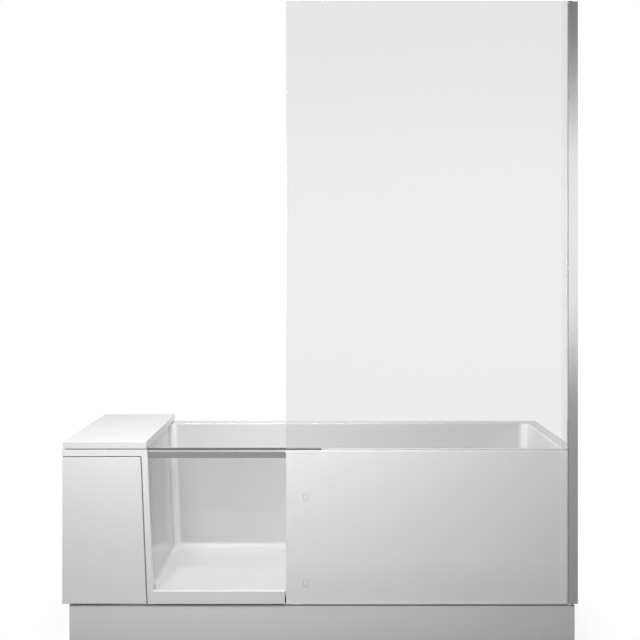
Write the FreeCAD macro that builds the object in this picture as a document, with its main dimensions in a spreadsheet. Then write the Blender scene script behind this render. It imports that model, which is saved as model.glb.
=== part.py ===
"""Shower bath: a bath shell with a glass door in its front, a seat lid over one end,
a full-height glass screen in a wall profile, and the frame, waste and lock behind them.

Frame: millimetres, +Z up, +X along the bath towards the wall profile, +Y from the room
to the rear wall. The origin is on the floor, under the middle of the bath.
"""

import FreeCAD, Part
import os

import Sketcher

V = FreeCAD.Vector

# Driving dimensions, one spreadsheet cell each.
SIZES = {
    # Overall sizes of the bath, the screen and the base
    "tub_length": 1700,
    "tub_depth": 750,
    "rim_height": 640,
    "floor_height": 158,
    "screen_height": 2120,
    # Moulded shell
    "shell_wall": 6,
    "rim_lip": 22,
    "rim_round": 4,
    "rim_edge": 5,
    "rim_right": 47,
    "rim_back": 80,
    "end_width": 268,
    "end_lean": 20,
    "right_lean": 20,
    "wall_corner": 40,
    "floor_corner": 25,
    "hatch_margin": 30,
    "hatch_end_margin": 62,
    "hatch_edge": 22,
    # Doorway in the front of the shell
    "doorway_width": 458,
    "jamb_width": 19,
    "jamb_overlap": 12,
    "jamb_thickness": 23,
    "ledge_rise": 4,
    "sill_overlap": 6,
    "sill_gap": 4,
    "jamb_clearance": 5,
    "flange_drop": 7,
    # Screen pane and the white panel bonded behind it
    "pane_thickness": 8,
    "pane_setback": 4,
    "panel_thickness": 4,
    "panel_drop": 6.5,
    "bond_gap": 0.3,
    "edge_bevel": 1,
    # Wall profile
    "profile_width": 31,
    "profile_depth": 30,
    "profile_wall": 2,
    "profile_cap": 3,
    "glass_bite": 15,
    "gasket_inset": 0.5,
    "strip_width": 21,
    "strip_thickness": 1.5,
    "profile_gap": 0.5,
    "fixing_radius": 3,
    "fixing_pitch": 530,
    # Door
    "hinge_inset": 128,
    "hinge_setback": 23,
    "glass_thickness": 8,
    "door_gap": 2.5,
    "seal_room": 4,
    "seal_clearance": 0.3,
    "seal_width": 8,
    "foot_gap": 4,
    "door_corner": 18,
    "rail_height": 25.5,
    "rail_drop": 6,
    "rail_cap": 7,
    "rail_slope": 5,
    "frame_cheek": 3,
    "rail_slot": 20,
    "stile_width": 19,
    "door_end_gap": 11,
    "stile_web": 2,
    "hinge_rise": 52,
    "hinge_drop": 156,
    "hinge_wall_gap": 2,
    "knuckle_radius": 9,
    "knuckle_height": 30,
    "ear_height": 10,
    "hinge_play": 0.3,
    "pin_radius": 4,
    "pin_head": 2,
    "bush_wall": 2,
    "running_fit": 0.05,
    "hinge_plate": 5,
    "hinge_plate_length": 55,
    # Lock behind the door's free end
    "bolt_radius": 6,
    "bolt_drop": 19,
    "bolt_length": 92,
    "bolt_hole_play": 0.6,
    "keeper_depth": 22,
    "keeper_block": 32,
    "guide_gap": 2,
    "guide_length": 60,
    "guide_width": 24,
    "guide_height": 22,
    "knob_radius": 12,
    "knob_length": 12,
    "knob_edge": 2,
    # Seat lid
    "lid_thickness": 23,
    "lid_gap": 3,
    "lid_overhang": 9,
    "lid_inset": 2,
    "lid_round": 6,
    "lid_edge": 2,
    "lid_pin_radius": 3,
    "lid_pin_length": 34,
    "lid_bracket": 6,
    "lid_bracket_foot": 24,
    "lid_bracket_plate": 1.5,
    "lid_ear_play": 0.3,
    "lid_hinge_inset": 75,
    "lid_notch_play": 1,
    "buffer_radius": 8,
    # End cladding and plinth
    "cladding": 8,
    "cladding_gap": 4,
    "plinth_gap": 1,
    "plinth_setback": 8,
    "plinth_end_setback": 22,
    "plinth_right_gap": 9,
    "plinth_board": 16,
    "plinth_return": 7,
    "plinth_clip_width": 24,
    "plinth_clip_height": 15,
    "plinth_clip_level": 60,
    "clip_inset": 70,
    "clip_height": 20,
    # Carrying frame
    "base_board": 16,
    "board_margin": 10,
    "tube_size": 30,
    "tube_wall": 2,
    "rail_inset": 57,
    "rear_rail_inset": 20,
    "crossbar_inset": 60,
    "foot_inset": 85,
    "foot_radius": 30,
    "foot_pad": 14,
    "stud_radius": 6,
    "post_wall": 3,
    "ledge_plate": 4,
    "bracket_drop": 8.5,
    "bracket_height": 5,
    "bracket_width": 30,
    "bracket_lap": 9,
    "bracket_inset": 75,
    # Waste and overflow
    "waste_inset": 243,
    "waste_radius": 25,
    "waste_wall": 3,
    "waste_flange": 36,
    "flange_height": 3,
    "hole_play": 1,
    "waste_depth": 48,
    "waste_clearance": 9,
    "washer_height": 6,
    "plug_radius": 29,
    "plug_height": 4,
    "stem_radius": 4,
    "stem_length": 40,
    "trap_radius": 45,
    "trap_depth": 72,
    "trap_shoulder": 15,
    "spigot_radius": 25,
    "spigot_wall": 2.5,
    "spigot_drop": 44,
    "spigot_reach": 240,
    "spigot_length": 80,
    "collar_rise": 4,
    "overflow_drop": 140,
    "overflow_radius": 25,
    "overflow_wall": 5,
    "overflow_rim": 11,
    "overflow_knob": 36,
    "knob_gap": 6,
    "knob_depth": 14,
    "knob_wall": 3,
    "knob_dish": 12,
    "grip_width": 6,
    "grip_rise": 3,
    "shaft_radius": 6,
    "overflow_body": 38,
    "pipe_radius": 16,
    "pipe_wall": 2,
    "pipe_offset": 32,
    "pipe_drop": 30,
    "socket_wall": 3,
    "socket_length": 15,
}

doc = FreeCAD.newDocument("ShowerBath")
sheet = doc.addObject("Spreadsheet::Sheet", "Sizes")
for row, (alias, value) in enumerate(SIZES.items(), start=1):
    sheet.set(f"A{row}", alias)
    sheet.set(f"B{row}", str(value))
    sheet.setAlias(f"B{row}", alias)
doc.recompute()

published = []


def sz(alias):
    """The expression that reads one cell of the sheet."""
    return f"Sizes.{alias}"


def number(expression):
    """The value of an expression, for choosing edges and for first sketch positions."""
    return float(sheet.evalExpression(str(expression)))


def bind(obj, **expressions):
    """Binds properties of an object to expressions; Base_x stands for Placement.Base.x."""
    for name, expression in expressions.items():
        path = name.replace("Base_", "Placement.Base.")
        obj.setExpression(path, str(expression))
    return obj


def publish(label, obj):
    """Names an object as one of the pieces that are written out."""
    obj.Label = label
    published.append(obj)
    return obj


def slab(name, x, y, z):
    """A box between pairs of expressions on each axis."""
    box = doc.addObject("Part::Box", name)
    return bind(
        box,
        Base_x=x[0], Base_y=y[0], Base_z=z[0],
        Length=f"({x[1]}) - ({x[0]})",
        Width=f"({y[1]}) - ({y[0]})",
        Height=f"({z[1]}) - ({z[0]})",
    )


AXIS_TURN = {
    "X": FreeCAD.Rotation(V(0, 1, 0), 90),
    "Y": FreeCAD.Rotation(V(1, 0, 0), -90),
    "Z": FreeCAD.Rotation(),
}


def rod(name, axis, x, y, z, radius, length):
    """A cylinder that starts at x, y, z and runs along the named axis."""
    cylinder = doc.addObject("Part::Cylinder", name)
    cylinder.Placement = FreeCAD.Placement(V(), AXIS_TURN[axis])
    return bind(cylinder, Base_x=x, Base_y=y, Base_z=z, Radius=radius, Height=length)


def frustum(name, z, low, high):
    """A four-sided block whose lower and upper rectangles, (x0, x1, y0, y1), differ."""
    wedge = doc.addObject("Part::Wedge", name)
    wedge.Placement = FreeCAD.Placement(V(), FreeCAD.Rotation(V(1, 0, 0), 90))
    return bind(
        wedge,
        Ymin=z[0], Ymax=z[1],
        Xmin=low[0], Xmax=low[1], Zmin=f"-({low[3]})", Zmax=f"-({low[2]})",
        X2min=high[0], X2max=high[1], Z2min=f"-({high[3]})", Z2max=f"-({high[2]})",
    )


def fuse(name, *shapes):
    """One solid out of several that touch or overlap."""
    joined = doc.addObject("Part::MultiFuse", name)
    joined.Shapes = list(shapes)
    joined.Refine = True
    return joined


def cut(name, base, *tools):
    """The base with the tools taken out of it."""
    taken = tools[0] if len(tools) == 1 else fuse(name + "Tools", *tools)
    left = doc.addObject("Part::Cut", name)
    left.Base = base
    left.Tool = taken
    left.Refine = True
    return left


def group(name, *solids):
    """Separate like solids kept together as one piece."""
    compound = doc.addObject("Part::Compound", name)
    compound.Links = list(solids)
    return compound


def fillet(name, base, radius, chosen):
    """Rounds the edges of base for which chosen(edge) is true."""
    doc.recompute()
    value = number(radius)
    edges = [i for i, e in enumerate(base.Shape.Edges, start=1) if chosen(e)]
    rounded = doc.addObject("Part::Fillet", name)
    rounded.Base = base
    rounded.Edges = [(i, value, value) for i in edges]
    return rounded


def bevel(name, base, size, chosen=lambda edge: True):
    """Cuts a narrow flat along the edges of base for which chosen(edge) is true."""
    doc.recompute()
    value = number(size)
    edges = [i for i, e in enumerate(base.Shape.Edges, start=1) if chosen(e)]
    bevelled = doc.addObject("Part::Chamfer", name)
    bevelled.Base = base
    bevelled.Edges = [(i, value, value) for i in edges]
    return bevelled


def along(edge, axis):
    """True where a straight edge runs along the axis, given as 0, 1 or 2."""
    box = edge.BoundBox
    lengths = [box.XLength, box.YLength, box.ZLength]
    return lengths[axis] > 0.9 * max(edge.Length, 1e-6)


def outline(body, name, plane, points, offset="0"):
    """A closed sketch of straight lines whose corners are bound to expressions."""
    sketch = body.newObject("Sketcher::SketchObject", name)
    support = next(f for f in body.Origin.OriginFeatures if f.Role == plane)
    sketch.AttachmentSupport = [(support, "")]
    sketch.MapMode = "FlatFace"
    sketch.setExpression("AttachmentOffset.Base.z", offset)
    draw_line(sketch, points, closed=True)
    return sketch


def draw_line(sketch, points, closed=False):
    """Adds joined lines to a sketch and binds each of their corners to its expressions."""
    first = sketch.GeometryCount
    corners = [V(number(a), number(b), 0) for a, b in points]
    ends = corners[1:] + corners[:1] if closed else corners[1:]
    for start, end in zip(corners, ends):
        sketch.addGeometry(Part.LineSegment(start, end), False)
    count = len(ends)
    for i in range(count if closed else count - 1):
        after = first + (i + 1) % count
        sketch.addConstraint(Sketcher.Constraint("Coincident", first + i, 2, after, 1))
    for i, (pair, corner) in enumerate(zip(points, corners)):
        line, end = (first + i, 1) if i < count else (first + i - 1, 2)
        for axis, expression, value in zip("XY", pair, (corner.x, corner.y)):
            index = sketch.addConstraint(
                Sketcher.Constraint("Distance" + axis, -1, 1, line, end, value)
            )
            sketch.renameConstraint(index, f"corner{first + i}{axis}")
            sketch.setExpression(f"Constraints.corner{first + i}{axis}", str(expression))


def prism(name, plane, points, start, end):
    """A padded outline. XY outlines run in Z, XZ outlines in Y and YZ outlines in X."""
    body = doc.addObject("PartDesign::Body", name)
    offset = f"-({end})" if plane == "XZ_Plane" else str(start)
    sketch = outline(body, name + "Outline", plane, points, offset)
    pad = body.newObject("PartDesign::Pad", name + "Pad")
    pad.Profile = sketch
    pad.setExpression("Length", f"({end}) - ({start})")
    return body


def turned(name, points, x, y, z, axis="Z"):
    """A profile of (radius, height) corners turned about an axis through x, y, z."""
    body = doc.addObject("PartDesign::Body", name)
    sketch = outline(body, name + "Profile", "XZ_Plane", points)
    turn = body.newObject("PartDesign::Revolution", name + "Turn")
    turn.Profile = sketch
    turn.ReferenceAxis = (sketch, ["V_Axis"])
    turn.Angle = 360
    body.Placement = FreeCAD.Placement(V(), AXIS_TURN[axis])
    return bind(body, Base_x=x, Base_y=y, Base_z=z)


# Planes that the pieces share, as expressions.
LEFT = "(-Sizes.tub_length / 2)"
RIGHT = "(Sizes.tub_length / 2)"
FRONT = "(-Sizes.tub_depth / 2)"
BACK = "(Sizes.tub_depth / 2)"
RIM = sz("rim_height")
FLOOR = sz("floor_height")
UNDERSIDE = "(Sizes.floor_height - Sizes.shell_wall)"
DECK_UNDER = "(Sizes.rim_height - Sizes.shell_wall)"
LEDGE = f"({FLOOR} + Sizes.ledge_rise)"
DOOR_FOOT = f"({LEDGE} + Sizes.foot_gap)"
SILL_TOP = f"({DOOR_FOOT} + Sizes.sill_overlap)"
TUBE_TOP = f"({UNDERSIDE} - Sizes.base_board)"
TUBE_FOOT = f"({TUBE_TOP} - Sizes.tube_size)"
LEDGE_FOOT = f"({TUBE_TOP} - Sizes.bracket_drop)"
PANEL_FOOT = f"({LEDGE_FOOT} + Sizes.ledge_plate)"
PLINTH_TOP = f"({LEDGE_FOOT} - Sizes.plinth_gap)"

# From the room inwards: pane, bonded panel, shell flange, door.
PANE_FRONT = f"({FRONT} + Sizes.pane_setback)"
PANE_BACK = f"({PANE_FRONT} + Sizes.pane_thickness)"
PANEL_FRONT = f"({PANE_BACK} + Sizes.bond_gap)"
PANEL_BACK = f"({PANEL_FRONT} + Sizes.panel_thickness)"
FLANGE_BACK = f"({FRONT} + Sizes.jamb_thickness)"
FLANGE_FRONT = f"({FLANGE_BACK} - Sizes.shell_wall)"
GLASS_FRONT = f"({FLANGE_BACK} + Sizes.seal_room)"
GLASS_BACK = f"({GLASS_FRONT} + Sizes.glass_thickness)"
DOOR_FRONT = f"({GLASS_FRONT} - Sizes.frame_cheek)"
DOOR_BACK = f"({GLASS_BACK} + Sizes.frame_cheek)"
HINGE_Y = f"({GLASS_FRONT} + Sizes.glass_thickness / 2 + Sizes.hinge_setback)"
WALL_INNER = f"({HINGE_Y} - Sizes.knuckle_radius - Sizes.hinge_wall_gap)"
WALL_OUTER = f"({WALL_INNER} - Sizes.shell_wall)"
REAR_INNER = f"({BACK} - Sizes.rim_back)"
REAR_OUTER = f"({REAR_INNER} + Sizes.shell_wall)"

# From the lid end towards the wall profile.
END_TOP = f"({LEFT} + Sizes.end_width)"
DOORWAY_LEFT = f"({END_TOP} + Sizes.jamb_overlap)"
PANE_LEFT = f"({DOORWAY_LEFT} + Sizes.doorway_width)"
HINGE_X = f"({PANE_LEFT} + Sizes.hinge_inset)"
DOOR_RIGHT = f"({HINGE_X} - Sizes.door_end_gap)"
JAMB_INNER = f"({HINGE_X} + Sizes.knuckle_radius + Sizes.jamb_clearance)"
PROFILE_LEFT = f"({RIGHT} - Sizes.profile_width)"
RIGHT_TOP = f"({RIGHT} - Sizes.rim_right)"
LID_RIGHT = f"({END_TOP} + Sizes.lid_overhang)"
WASTE_X = f"({RIGHT_TOP} - Sizes.waste_inset)"
OVERFLOW_Z = f"({RIM} - Sizes.overflow_drop)"


BOLT_Y = f"({GLASS_FRONT} + Sizes.glass_thickness / 2)"
BOLT_Z = f"({RIM} - Sizes.bolt_drop)"


def lean(z):
    """How far the leaning end wall has come in at height z."""
    return f"(Sizes.end_lean * ({RIM} - ({z})) / ({RIM} - {FLOOR}))"


def end_wall(z, away="0"):
    """X of the leaning end wall's inner face at height z, plus a distance into the bath."""
    return f"({END_TOP} + {lean(z)} + ({away}))"


# Moulded bath shell: drafted basin with round corners, rim with turned-down lips, a bay that
# takes the door, a flange round the doorway, and holes for waste, overflow and lock bolt.
LIP_FOOT = f"({RIM} - Sizes.rim_lip)"
DECK_RIGHT = f"({END_TOP} - Sizes.shell_wall)"
BAY_BACK = f"({WALL_INNER} + Sizes.floor_corner)"


def shell_blank():
    """The basin's outside, the rim and the lips, before anything is hollowed."""
    wall = sz("shell_wall")
    outer_right = f"{RIGHT_TOP} + {wall}"
    basin = frustum(
        "BasinOuter", (UNDERSIDE, RIM),
        (end_wall(UNDERSIDE, f"-{wall}"), f"{outer_right} - Sizes.right_lean", FLANGE_FRONT, REAR_OUTER),
        (DECK_RIGHT, outer_right, FLANGE_FRONT, REAR_OUTER),
    )
    rear_rim = slab("RearRim", (DECK_RIGHT, RIGHT), (REAR_INNER, BACK), (DECK_UNDER, RIM))
    right_rim = slab("RightRim", (RIGHT_TOP, RIGHT), (FLANGE_FRONT, BACK), (DECK_UNDER, RIM))
    rear_lip = slab("RearLip", (DECK_RIGHT, RIGHT), (f"{BACK} - {wall}", BACK), (LIP_FOOT, RIM))
    right_lip = slab("RightLip", (f"{RIGHT} - {wall}", RIGHT), (WALL_OUTER, BACK), (LIP_FOOT, RIM))
    return fuse("ShellBlank", basin, rear_rim, right_rim, rear_lip, right_lip)


def shell_cavity():
    """The inside of the bath, with round wall corners and a round join to the floor."""
    block = frustum(
        "Cavity", (FLOOR, RIM),
        (end_wall(FLOOR), f"{RIGHT_TOP} - Sizes.right_lean", WALL_INNER, REAR_INNER),
        (END_TOP, RIGHT_TOP, WALL_INNER, REAR_INNER),
    )
    middle = number(JAMB_INNER)
    corners = fillet(
        "CavityCorners", block, sz("wall_corner"),
        lambda e: along(e, 2) and (e.CenterOfMass.y > 0 or e.CenterOfMass.x > middle),
    )
    return fillet(
        "CavityFloor", corners, sz("floor_corner"),
        lambda e: e.BoundBox.ZMax < number(FLOOR) + 0.1,
    )


def shell_doorway():
    """The bay behind the door, the way through the flange in front of it, and the flange's low step."""
    bay = frustum(
        "DoorBay", (LEDGE, RIM),
        (end_wall(LEDGE), JAMB_INNER, FLANGE_BACK, BAY_BACK),
        (END_TOP, JAMB_INNER, FLANGE_BACK, BAY_BACK),
    )
    overlap = sz("jamb_overlap")
    way = prism(
        "Doorway", "XZ_Plane",
        [
            (end_wall(SILL_TOP, overlap), SILL_TOP),
            (PANE_LEFT, SILL_TOP),
            (PANE_LEFT, RIM),
            (end_wall(RIM, overlap), RIM),
        ],
        FLANGE_FRONT, BAY_BACK,
    )
    step = slab(
        "FlangeStep", (PANE_LEFT, DOOR_RIGHT), (FLANGE_FRONT, BAY_BACK),
        (f"{RIM} - Sizes.flange_drop", RIM),
    )
    return fuse("DoorwayCut", bay, way, step)


def tub_shell():
    wall = sz("shell_wall")
    front_recess = slab(
        "FrontRecess", (f"{JAMB_INNER} + {wall}", RIGHT), (FLANGE_FRONT, WALL_OUTER),
        (UNDERSIDE, DECK_UNDER),
    )
    profile_notch = slab(
        "ProfileNotch", (f"{PROFILE_LEFT} - Sizes.profile_gap", RIGHT),
        (FLANGE_FRONT, f"{FRONT} + Sizes.profile_depth + Sizes.profile_gap"), (DECK_UNDER, RIM),
    )
    waste_hole = rod(
        "WasteHole", "Z", WASTE_X, "0", UNDERSIDE, "Sizes.waste_radius + Sizes.hole_play", wall
    )
    overflow_hole = rod(
        "OverflowHole", "Y", WASTE_X, REAR_INNER, OVERFLOW_Z,
        "Sizes.overflow_radius + Sizes.hole_play", wall,
    )
    bolt_hole = rod(
        "BoltHole", "X", f"{DECK_RIGHT} - {wall}", BOLT_Y, BOLT_Z,
        "Sizes.bolt_radius + Sizes.bolt_hole_play", f"4 * {wall}",
    )
    shell = cut(
        "ShellCut", shell_blank(), shell_cavity(), shell_doorway(), front_recess, profile_notch,
        waste_hole, overflow_hole, bolt_hole,
    )
    mouth_left, mouth_right = number(f"{END_TOP} + 1"), number(f"{RIGHT_TOP} + 1")
    mouth_front, mouth_rear = number(f"{WALL_INNER} - 1"), number(f"{REAR_INNER} + 1")
    bay_end, top = number(f"{JAMB_INNER} - 1"), number(f"{RIM} - 1")

    def inner_rim(edge):
        """Edges of the rim's mouth, from the door bay round to the lid end."""
        box = edge.BoundBox
        on_top = box.ZMin > top
        in_length = mouth_left < box.XMax < mouth_right
        in_depth = mouth_front < box.YMin and box.YMax < mouth_rear
        past_bay = box.XMin > bay_end or box.YMin > 0
        return on_top and in_length and in_depth and past_bay

    outer_right, outer_rear = number(f"{RIGHT} - 1"), number(f"{BACK} - 1")

    def outer_rim(edge):
        """Top edges of the rim along the rear wall and the profile's wall."""
        box = edge.BoundBox
        return box.ZMin > top and (box.XMin > outer_right or box.YMin > outer_rear)

    rounded = fillet("RimMouth", shell, sz("rim_round"), inner_rim)
    return fillet("TubShell", rounded, sz("rim_edge"), outer_rim)


# End frame: deck with a hatch under the lid, lips, and the jamb and sill round the doorway.
def end_frame():
    wall, overlap, width = sz("shell_wall"), sz("jamb_overlap"), sz("jamb_width")
    deck = slab("Deck", (LEFT, DECK_RIGHT), (FRONT, BACK), (DECK_UNDER, RIM))
    lips = [
        slab("FrontLip", (LEFT, DECK_RIGHT), (FRONT, f"{FRONT} + {wall}"), (LIP_FOOT, RIM)),
        slab("EndLip", (LEFT, f"{LEFT} + {wall}"), (FRONT, BACK), (LIP_FOOT, RIM)),
        slab("DeckRearLip", (LEFT, DECK_RIGHT), (f"{BACK} - {wall}", BACK), (LIP_FOOT, RIM)),
    ]
    jamb = prism(
        "JambStrip", "XZ_Plane",
        [
            (end_wall(PANEL_FOOT, f"{overlap} - {width}"), PANEL_FOOT),
            (end_wall(PANEL_FOOT, overlap), PANEL_FOOT),
            (end_wall(RIM, overlap), RIM),
            (end_wall(RIM, f"{overlap} - {width}"), RIM),
        ],
        FRONT, FLANGE_FRONT,
    )
    sill = slab(
        "Sill", (end_wall(PANEL_FOOT), f"{PANE_LEFT} - Sizes.sill_gap"),
        (FRONT, FLANGE_FRONT), (PANEL_FOOT, SILL_TOP),
    )
    hatch = slab(
        "DeckHatch", (f"{LEFT} + Sizes.hatch_end_margin", f"{DECK_RIGHT} - Sizes.hatch_edge"),
        (f"{FRONT} + Sizes.hatch_margin", f"{BACK} - Sizes.hatch_margin"), (DECK_UNDER, RIM),
    )
    return cut("EndFrame", fuse("EndFrameBlank", deck, *lips, jamb, sill), hatch)


# Lock: a bolt in a guide block under the deck slides into the end of the door's rail.
BOLT_TIP = f"({END_TOP} - Sizes.shell_wall / 2)"
GUIDE_END = f"({DECK_RIGHT} - Sizes.guide_gap)"


def lock_guide():
    block = slab(
        "GuideBlock",
        (f"{GUIDE_END} - Sizes.guide_length", GUIDE_END),
        (f"{BOLT_Y} - Sizes.guide_width / 2", f"{BOLT_Y} + Sizes.guide_width / 2"),
        (f"{DECK_UNDER} - Sizes.guide_height", DECK_UNDER),
    )
    bore = rod(
        "GuideBore", "X", f"{GUIDE_END} - Sizes.guide_length", BOLT_Y, BOLT_Z,
        "Sizes.bolt_radius + Sizes.running_fit", sz("guide_length"),
    )
    return cut("LockGuide", block, bore)


def lock_bolt():
    bolt = rod(
        "BoltBar", "X", f"{BOLT_TIP} - Sizes.bolt_length", BOLT_Y, BOLT_Z,
        sz("bolt_radius"), sz("bolt_length"),
    )
    return bevel(
        "LockBolt", bolt, sz("edge_bevel"),
        lambda e: e.CenterOfMass.x > number(BOLT_TIP) - 1 and not along(e, 0),
    )


def lock_knob():
    radius, length, edge = sz("knob_radius"), sz("knob_length"), sz("knob_edge")
    return turned(
        "LockKnob",
        [
            ("0", f"-{length}"),
            (f"{radius} - {edge}", f"-{length}"),
            (radius, f"-{length} + {edge}"),
            (radius, "0"),
            ("0", "0"),
        ],
        f"{BOLT_TIP} - Sizes.bolt_length", BOLT_Y, BOLT_Z, axis="X",
    )


# Screen: one tall pane, the white panel bonded behind its foot, and the wall profile.
PROFILE_TOP = "(Sizes.screen_height - Sizes.profile_cap)"
PANE_RIGHT = f"({PROFILE_LEFT} + Sizes.glass_bite)"
SLOT_FRONT = f"({FRONT} + Sizes.profile_wall)"
SLOT_BACK = f"({PANE_BACK} + {PANE_FRONT} - {SLOT_FRONT})"
PROFILE_BACK = f"({FRONT} + Sizes.profile_depth)"


def screen_glass():
    pane = slab(
        "ScreenPane", (PANE_LEFT, PANE_RIGHT), (PANE_FRONT, PANE_BACK),
        (PANEL_FOOT, sz("screen_height")),
    )
    return bevel("ScreenGlass", pane, sz("edge_bevel"))


def front_panel():
    return slab(
        "FrontPanel", (PANE_LEFT, f"{PROFILE_LEFT} - Sizes.bond_gap"),
        (PANEL_FRONT, PANEL_BACK), (PANEL_FOOT, f"{RIM} - Sizes.panel_drop"),
    )


def wall_profile():
    """A three-legged channel: the pane's slot in front, the screw chamber behind it."""
    wall = sz("profile_wall")
    web = f"{RIGHT} - {wall}"
    channel = prism(
        "ProfileSection", "XY_Plane",
        [
            (PROFILE_LEFT, FRONT),
            (RIGHT, FRONT),
            (RIGHT, PROFILE_BACK),
            (PROFILE_LEFT, PROFILE_BACK),
            (PROFILE_LEFT, f"{PROFILE_BACK} - {wall}"),
            (web, f"{PROFILE_BACK} - {wall}"),
            (web, f"{SLOT_BACK} + {wall}"),
            (PROFILE_LEFT, f"{SLOT_BACK} + {wall}"),
            (PROFILE_LEFT, SLOT_BACK),
            (web, SLOT_BACK),
            (web, SLOT_FRONT),
            (PROFILE_LEFT, SLOT_FRONT),
        ],
        PANEL_FOOT, PROFILE_TOP,
    )
    fixing_y = f"({SLOT_BACK} + {PROFILE_BACK}) / 2"
    middle = f"({PANEL_FOOT} + {PROFILE_TOP}) / 2"
    fixings = [
        rod(
            f"Fixing{n}", "X", web, fixing_y, f"{middle} + {step} * Sizes.fixing_pitch",
            sz("fixing_radius"), wall,
        )
        for n, step in enumerate((-1.5, -0.5, 0.5, 1.5))
    ]
    return cut("WallProfile", channel, *fixings)


def profile_cover():
    """The strip that snaps into the mouth of the screw chamber."""
    wall = sz("profile_wall")
    return slab(
        "ProfileCover", (PROFILE_LEFT, f"{PROFILE_LEFT} + {wall}"),
        (f"{SLOT_BACK} + {wall}", f"{PROFILE_BACK} - {wall}"), (PANEL_FOOT, PROFILE_TOP),
    )


def profile_cap():
    return slab(
        "ProfileCap", (PROFILE_LEFT, RIGHT), (SLOT_BACK, PROFILE_BACK),
        (PROFILE_TOP, sz("screen_height")),
    )


def profile_gaskets():
    x = (f"{PROFILE_LEFT} + Sizes.gasket_inset", PANE_RIGHT)
    z = (PANEL_FOOT, PROFILE_TOP)
    return group(
        "ProfileGaskets",
        slab("FrontGasket", x, (SLOT_FRONT, PANE_FRONT), z),
        slab("RearGasket", x, (PANE_BACK, SLOT_BACK), z),
    )


def screen_strip():
    return slab(
        "ScreenStrip",
        (f"{PROFILE_LEFT} - Sizes.strip_width", PROFILE_LEFT),
        (PANE_BACK, f"{PANE_BACK} + Sizes.strip_thickness"),
        (RIM, PROFILE_TOP),
    )


# Door: glass in a top rail and a hinge stile, sealed against jamb, sill and flange.
RAIL_TOP = f"({RIM} - Sizes.rail_drop)"
RAIL_FOOT = f"({RAIL_TOP} - Sizes.rail_height)"
GLASS_RIGHT = f"({DOOR_RIGHT} - Sizes.stile_web)"
STILE_LEFT = f"({DOOR_RIGHT} - Sizes.stile_width)"
KEEPER_RIGHT = f"({END_TOP} + Sizes.keeper_block)"


def door_glass():
    corner = sz("door_corner")
    above = f"({DOOR_FOOT} + {corner})"
    return prism(
        "DoorGlass", "XZ_Plane",
        [
            (end_wall(DOOR_FOOT, f"Sizes.door_gap + {corner}"), DOOR_FOOT),
            (GLASS_RIGHT, DOOR_FOOT),
            (GLASS_RIGHT, f"{RAIL_FOOT} + Sizes.rail_slot"),
            (KEEPER_RIGHT, f"{RAIL_FOOT} + Sizes.rail_slot"),
            (KEEPER_RIGHT, RAIL_FOOT),
            (end_wall(RAIL_FOOT, sz("door_gap")), RAIL_FOOT),
            (end_wall(above, sz("door_gap")), above),
        ],
        GLASS_FRONT, GLASS_BACK,
    )


def door_top_rail():
    bar = slab(
        "RailBar", (end_wall(RAIL_FOOT, sz("door_gap")), DOOR_RIGHT),
        (DOOR_FRONT, DOOR_BACK), (RAIL_FOOT, RAIL_TOP),
    )
    slot = slab(
        "RailSlot", (KEEPER_RIGHT, GLASS_RIGHT),
        (GLASS_FRONT, GLASS_BACK), (RAIL_FOOT, f"{RAIL_FOOT} + Sizes.rail_slot"),
    )
    keeper = rod(
        "KeeperHole", "X", end_wall(RAIL_FOOT, sz("door_gap")), BOLT_Y, BOLT_Z,
        "Sizes.bolt_radius + Sizes.bolt_hole_play", sz("keeper_depth"),
    )
    front, top = number(DOOR_FRONT), number(RAIL_TOP)
    sloped = bevel(
        "RailSlope", bar, sz("rail_slope"),
        lambda e: along(e, 0) and e.BoundBox.YMax < front + 0.1 and e.BoundBox.ZMin > top - 0.1,
    )
    return cut("DoorTopRail", sloped, slot, keeper)


def door_cap():
    """The dark strip along the top of the rail."""
    return slab(
        "DoorCap", (end_wall(RAIL_FOOT, sz("door_gap")), DOOR_RIGHT),
        (f"{DOOR_FRONT} + Sizes.rail_slope", DOOR_BACK), (RAIL_TOP, f"{RAIL_TOP} + Sizes.rail_cap"),
    )


def door_stile():
    z = (DOOR_FOOT, RAIL_FOOT)
    bar = slab("StileBar", (STILE_LEFT, DOOR_RIGHT), (DOOR_FRONT, DOOR_BACK), z)
    slot = slab("StileSlot", (STILE_LEFT, GLASS_RIGHT), (GLASS_FRONT, GLASS_BACK), z)
    return cut("DoorStile", bar, slot)


def door_seal():
    """A lip gasket down the free edge, along the foot and up beside the stile."""
    width, gap, corner = sz("seal_width"), sz("door_gap"), sz("door_corner")
    above = f"({DOOR_FOOT} + {corner})"
    foot_left = end_wall(DOOR_FOOT, f"{gap} + {corner}")
    return prism(
        "DoorSeal", "XZ_Plane",
        [
            (foot_left, DOOR_FOOT),
            (STILE_LEFT, DOOR_FOOT),
            (STILE_LEFT, RAIL_FOOT),
            (f"{STILE_LEFT} - {width}", RAIL_FOOT),
            (f"{STILE_LEFT} - {width}", f"{DOOR_FOOT} + {width}"),
            (f"{foot_left} + {width} / 2", f"{DOOR_FOOT} + {width}"),
            (end_wall(above, f"{gap} + {width}"), f"{above} + {width} / 2"),
            (end_wall(RAIL_FOOT, f"{gap} + {width}"), RAIL_FOOT),
            (end_wall(RAIL_FOOT, gap), RAIL_FOOT),
            (end_wall(above, gap), above),
        ],
        f"{FLANGE_BACK} + Sizes.seal_clearance", GLASS_FRONT,
    )


HINGES = {"lower": f"({FLOOR} + Sizes.hinge_rise)", "upper": f"({RIM} - Sizes.hinge_drop)"}
HINGE_HALF = "(Sizes.knuckle_height / 2 + Sizes.ear_height)"


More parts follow.
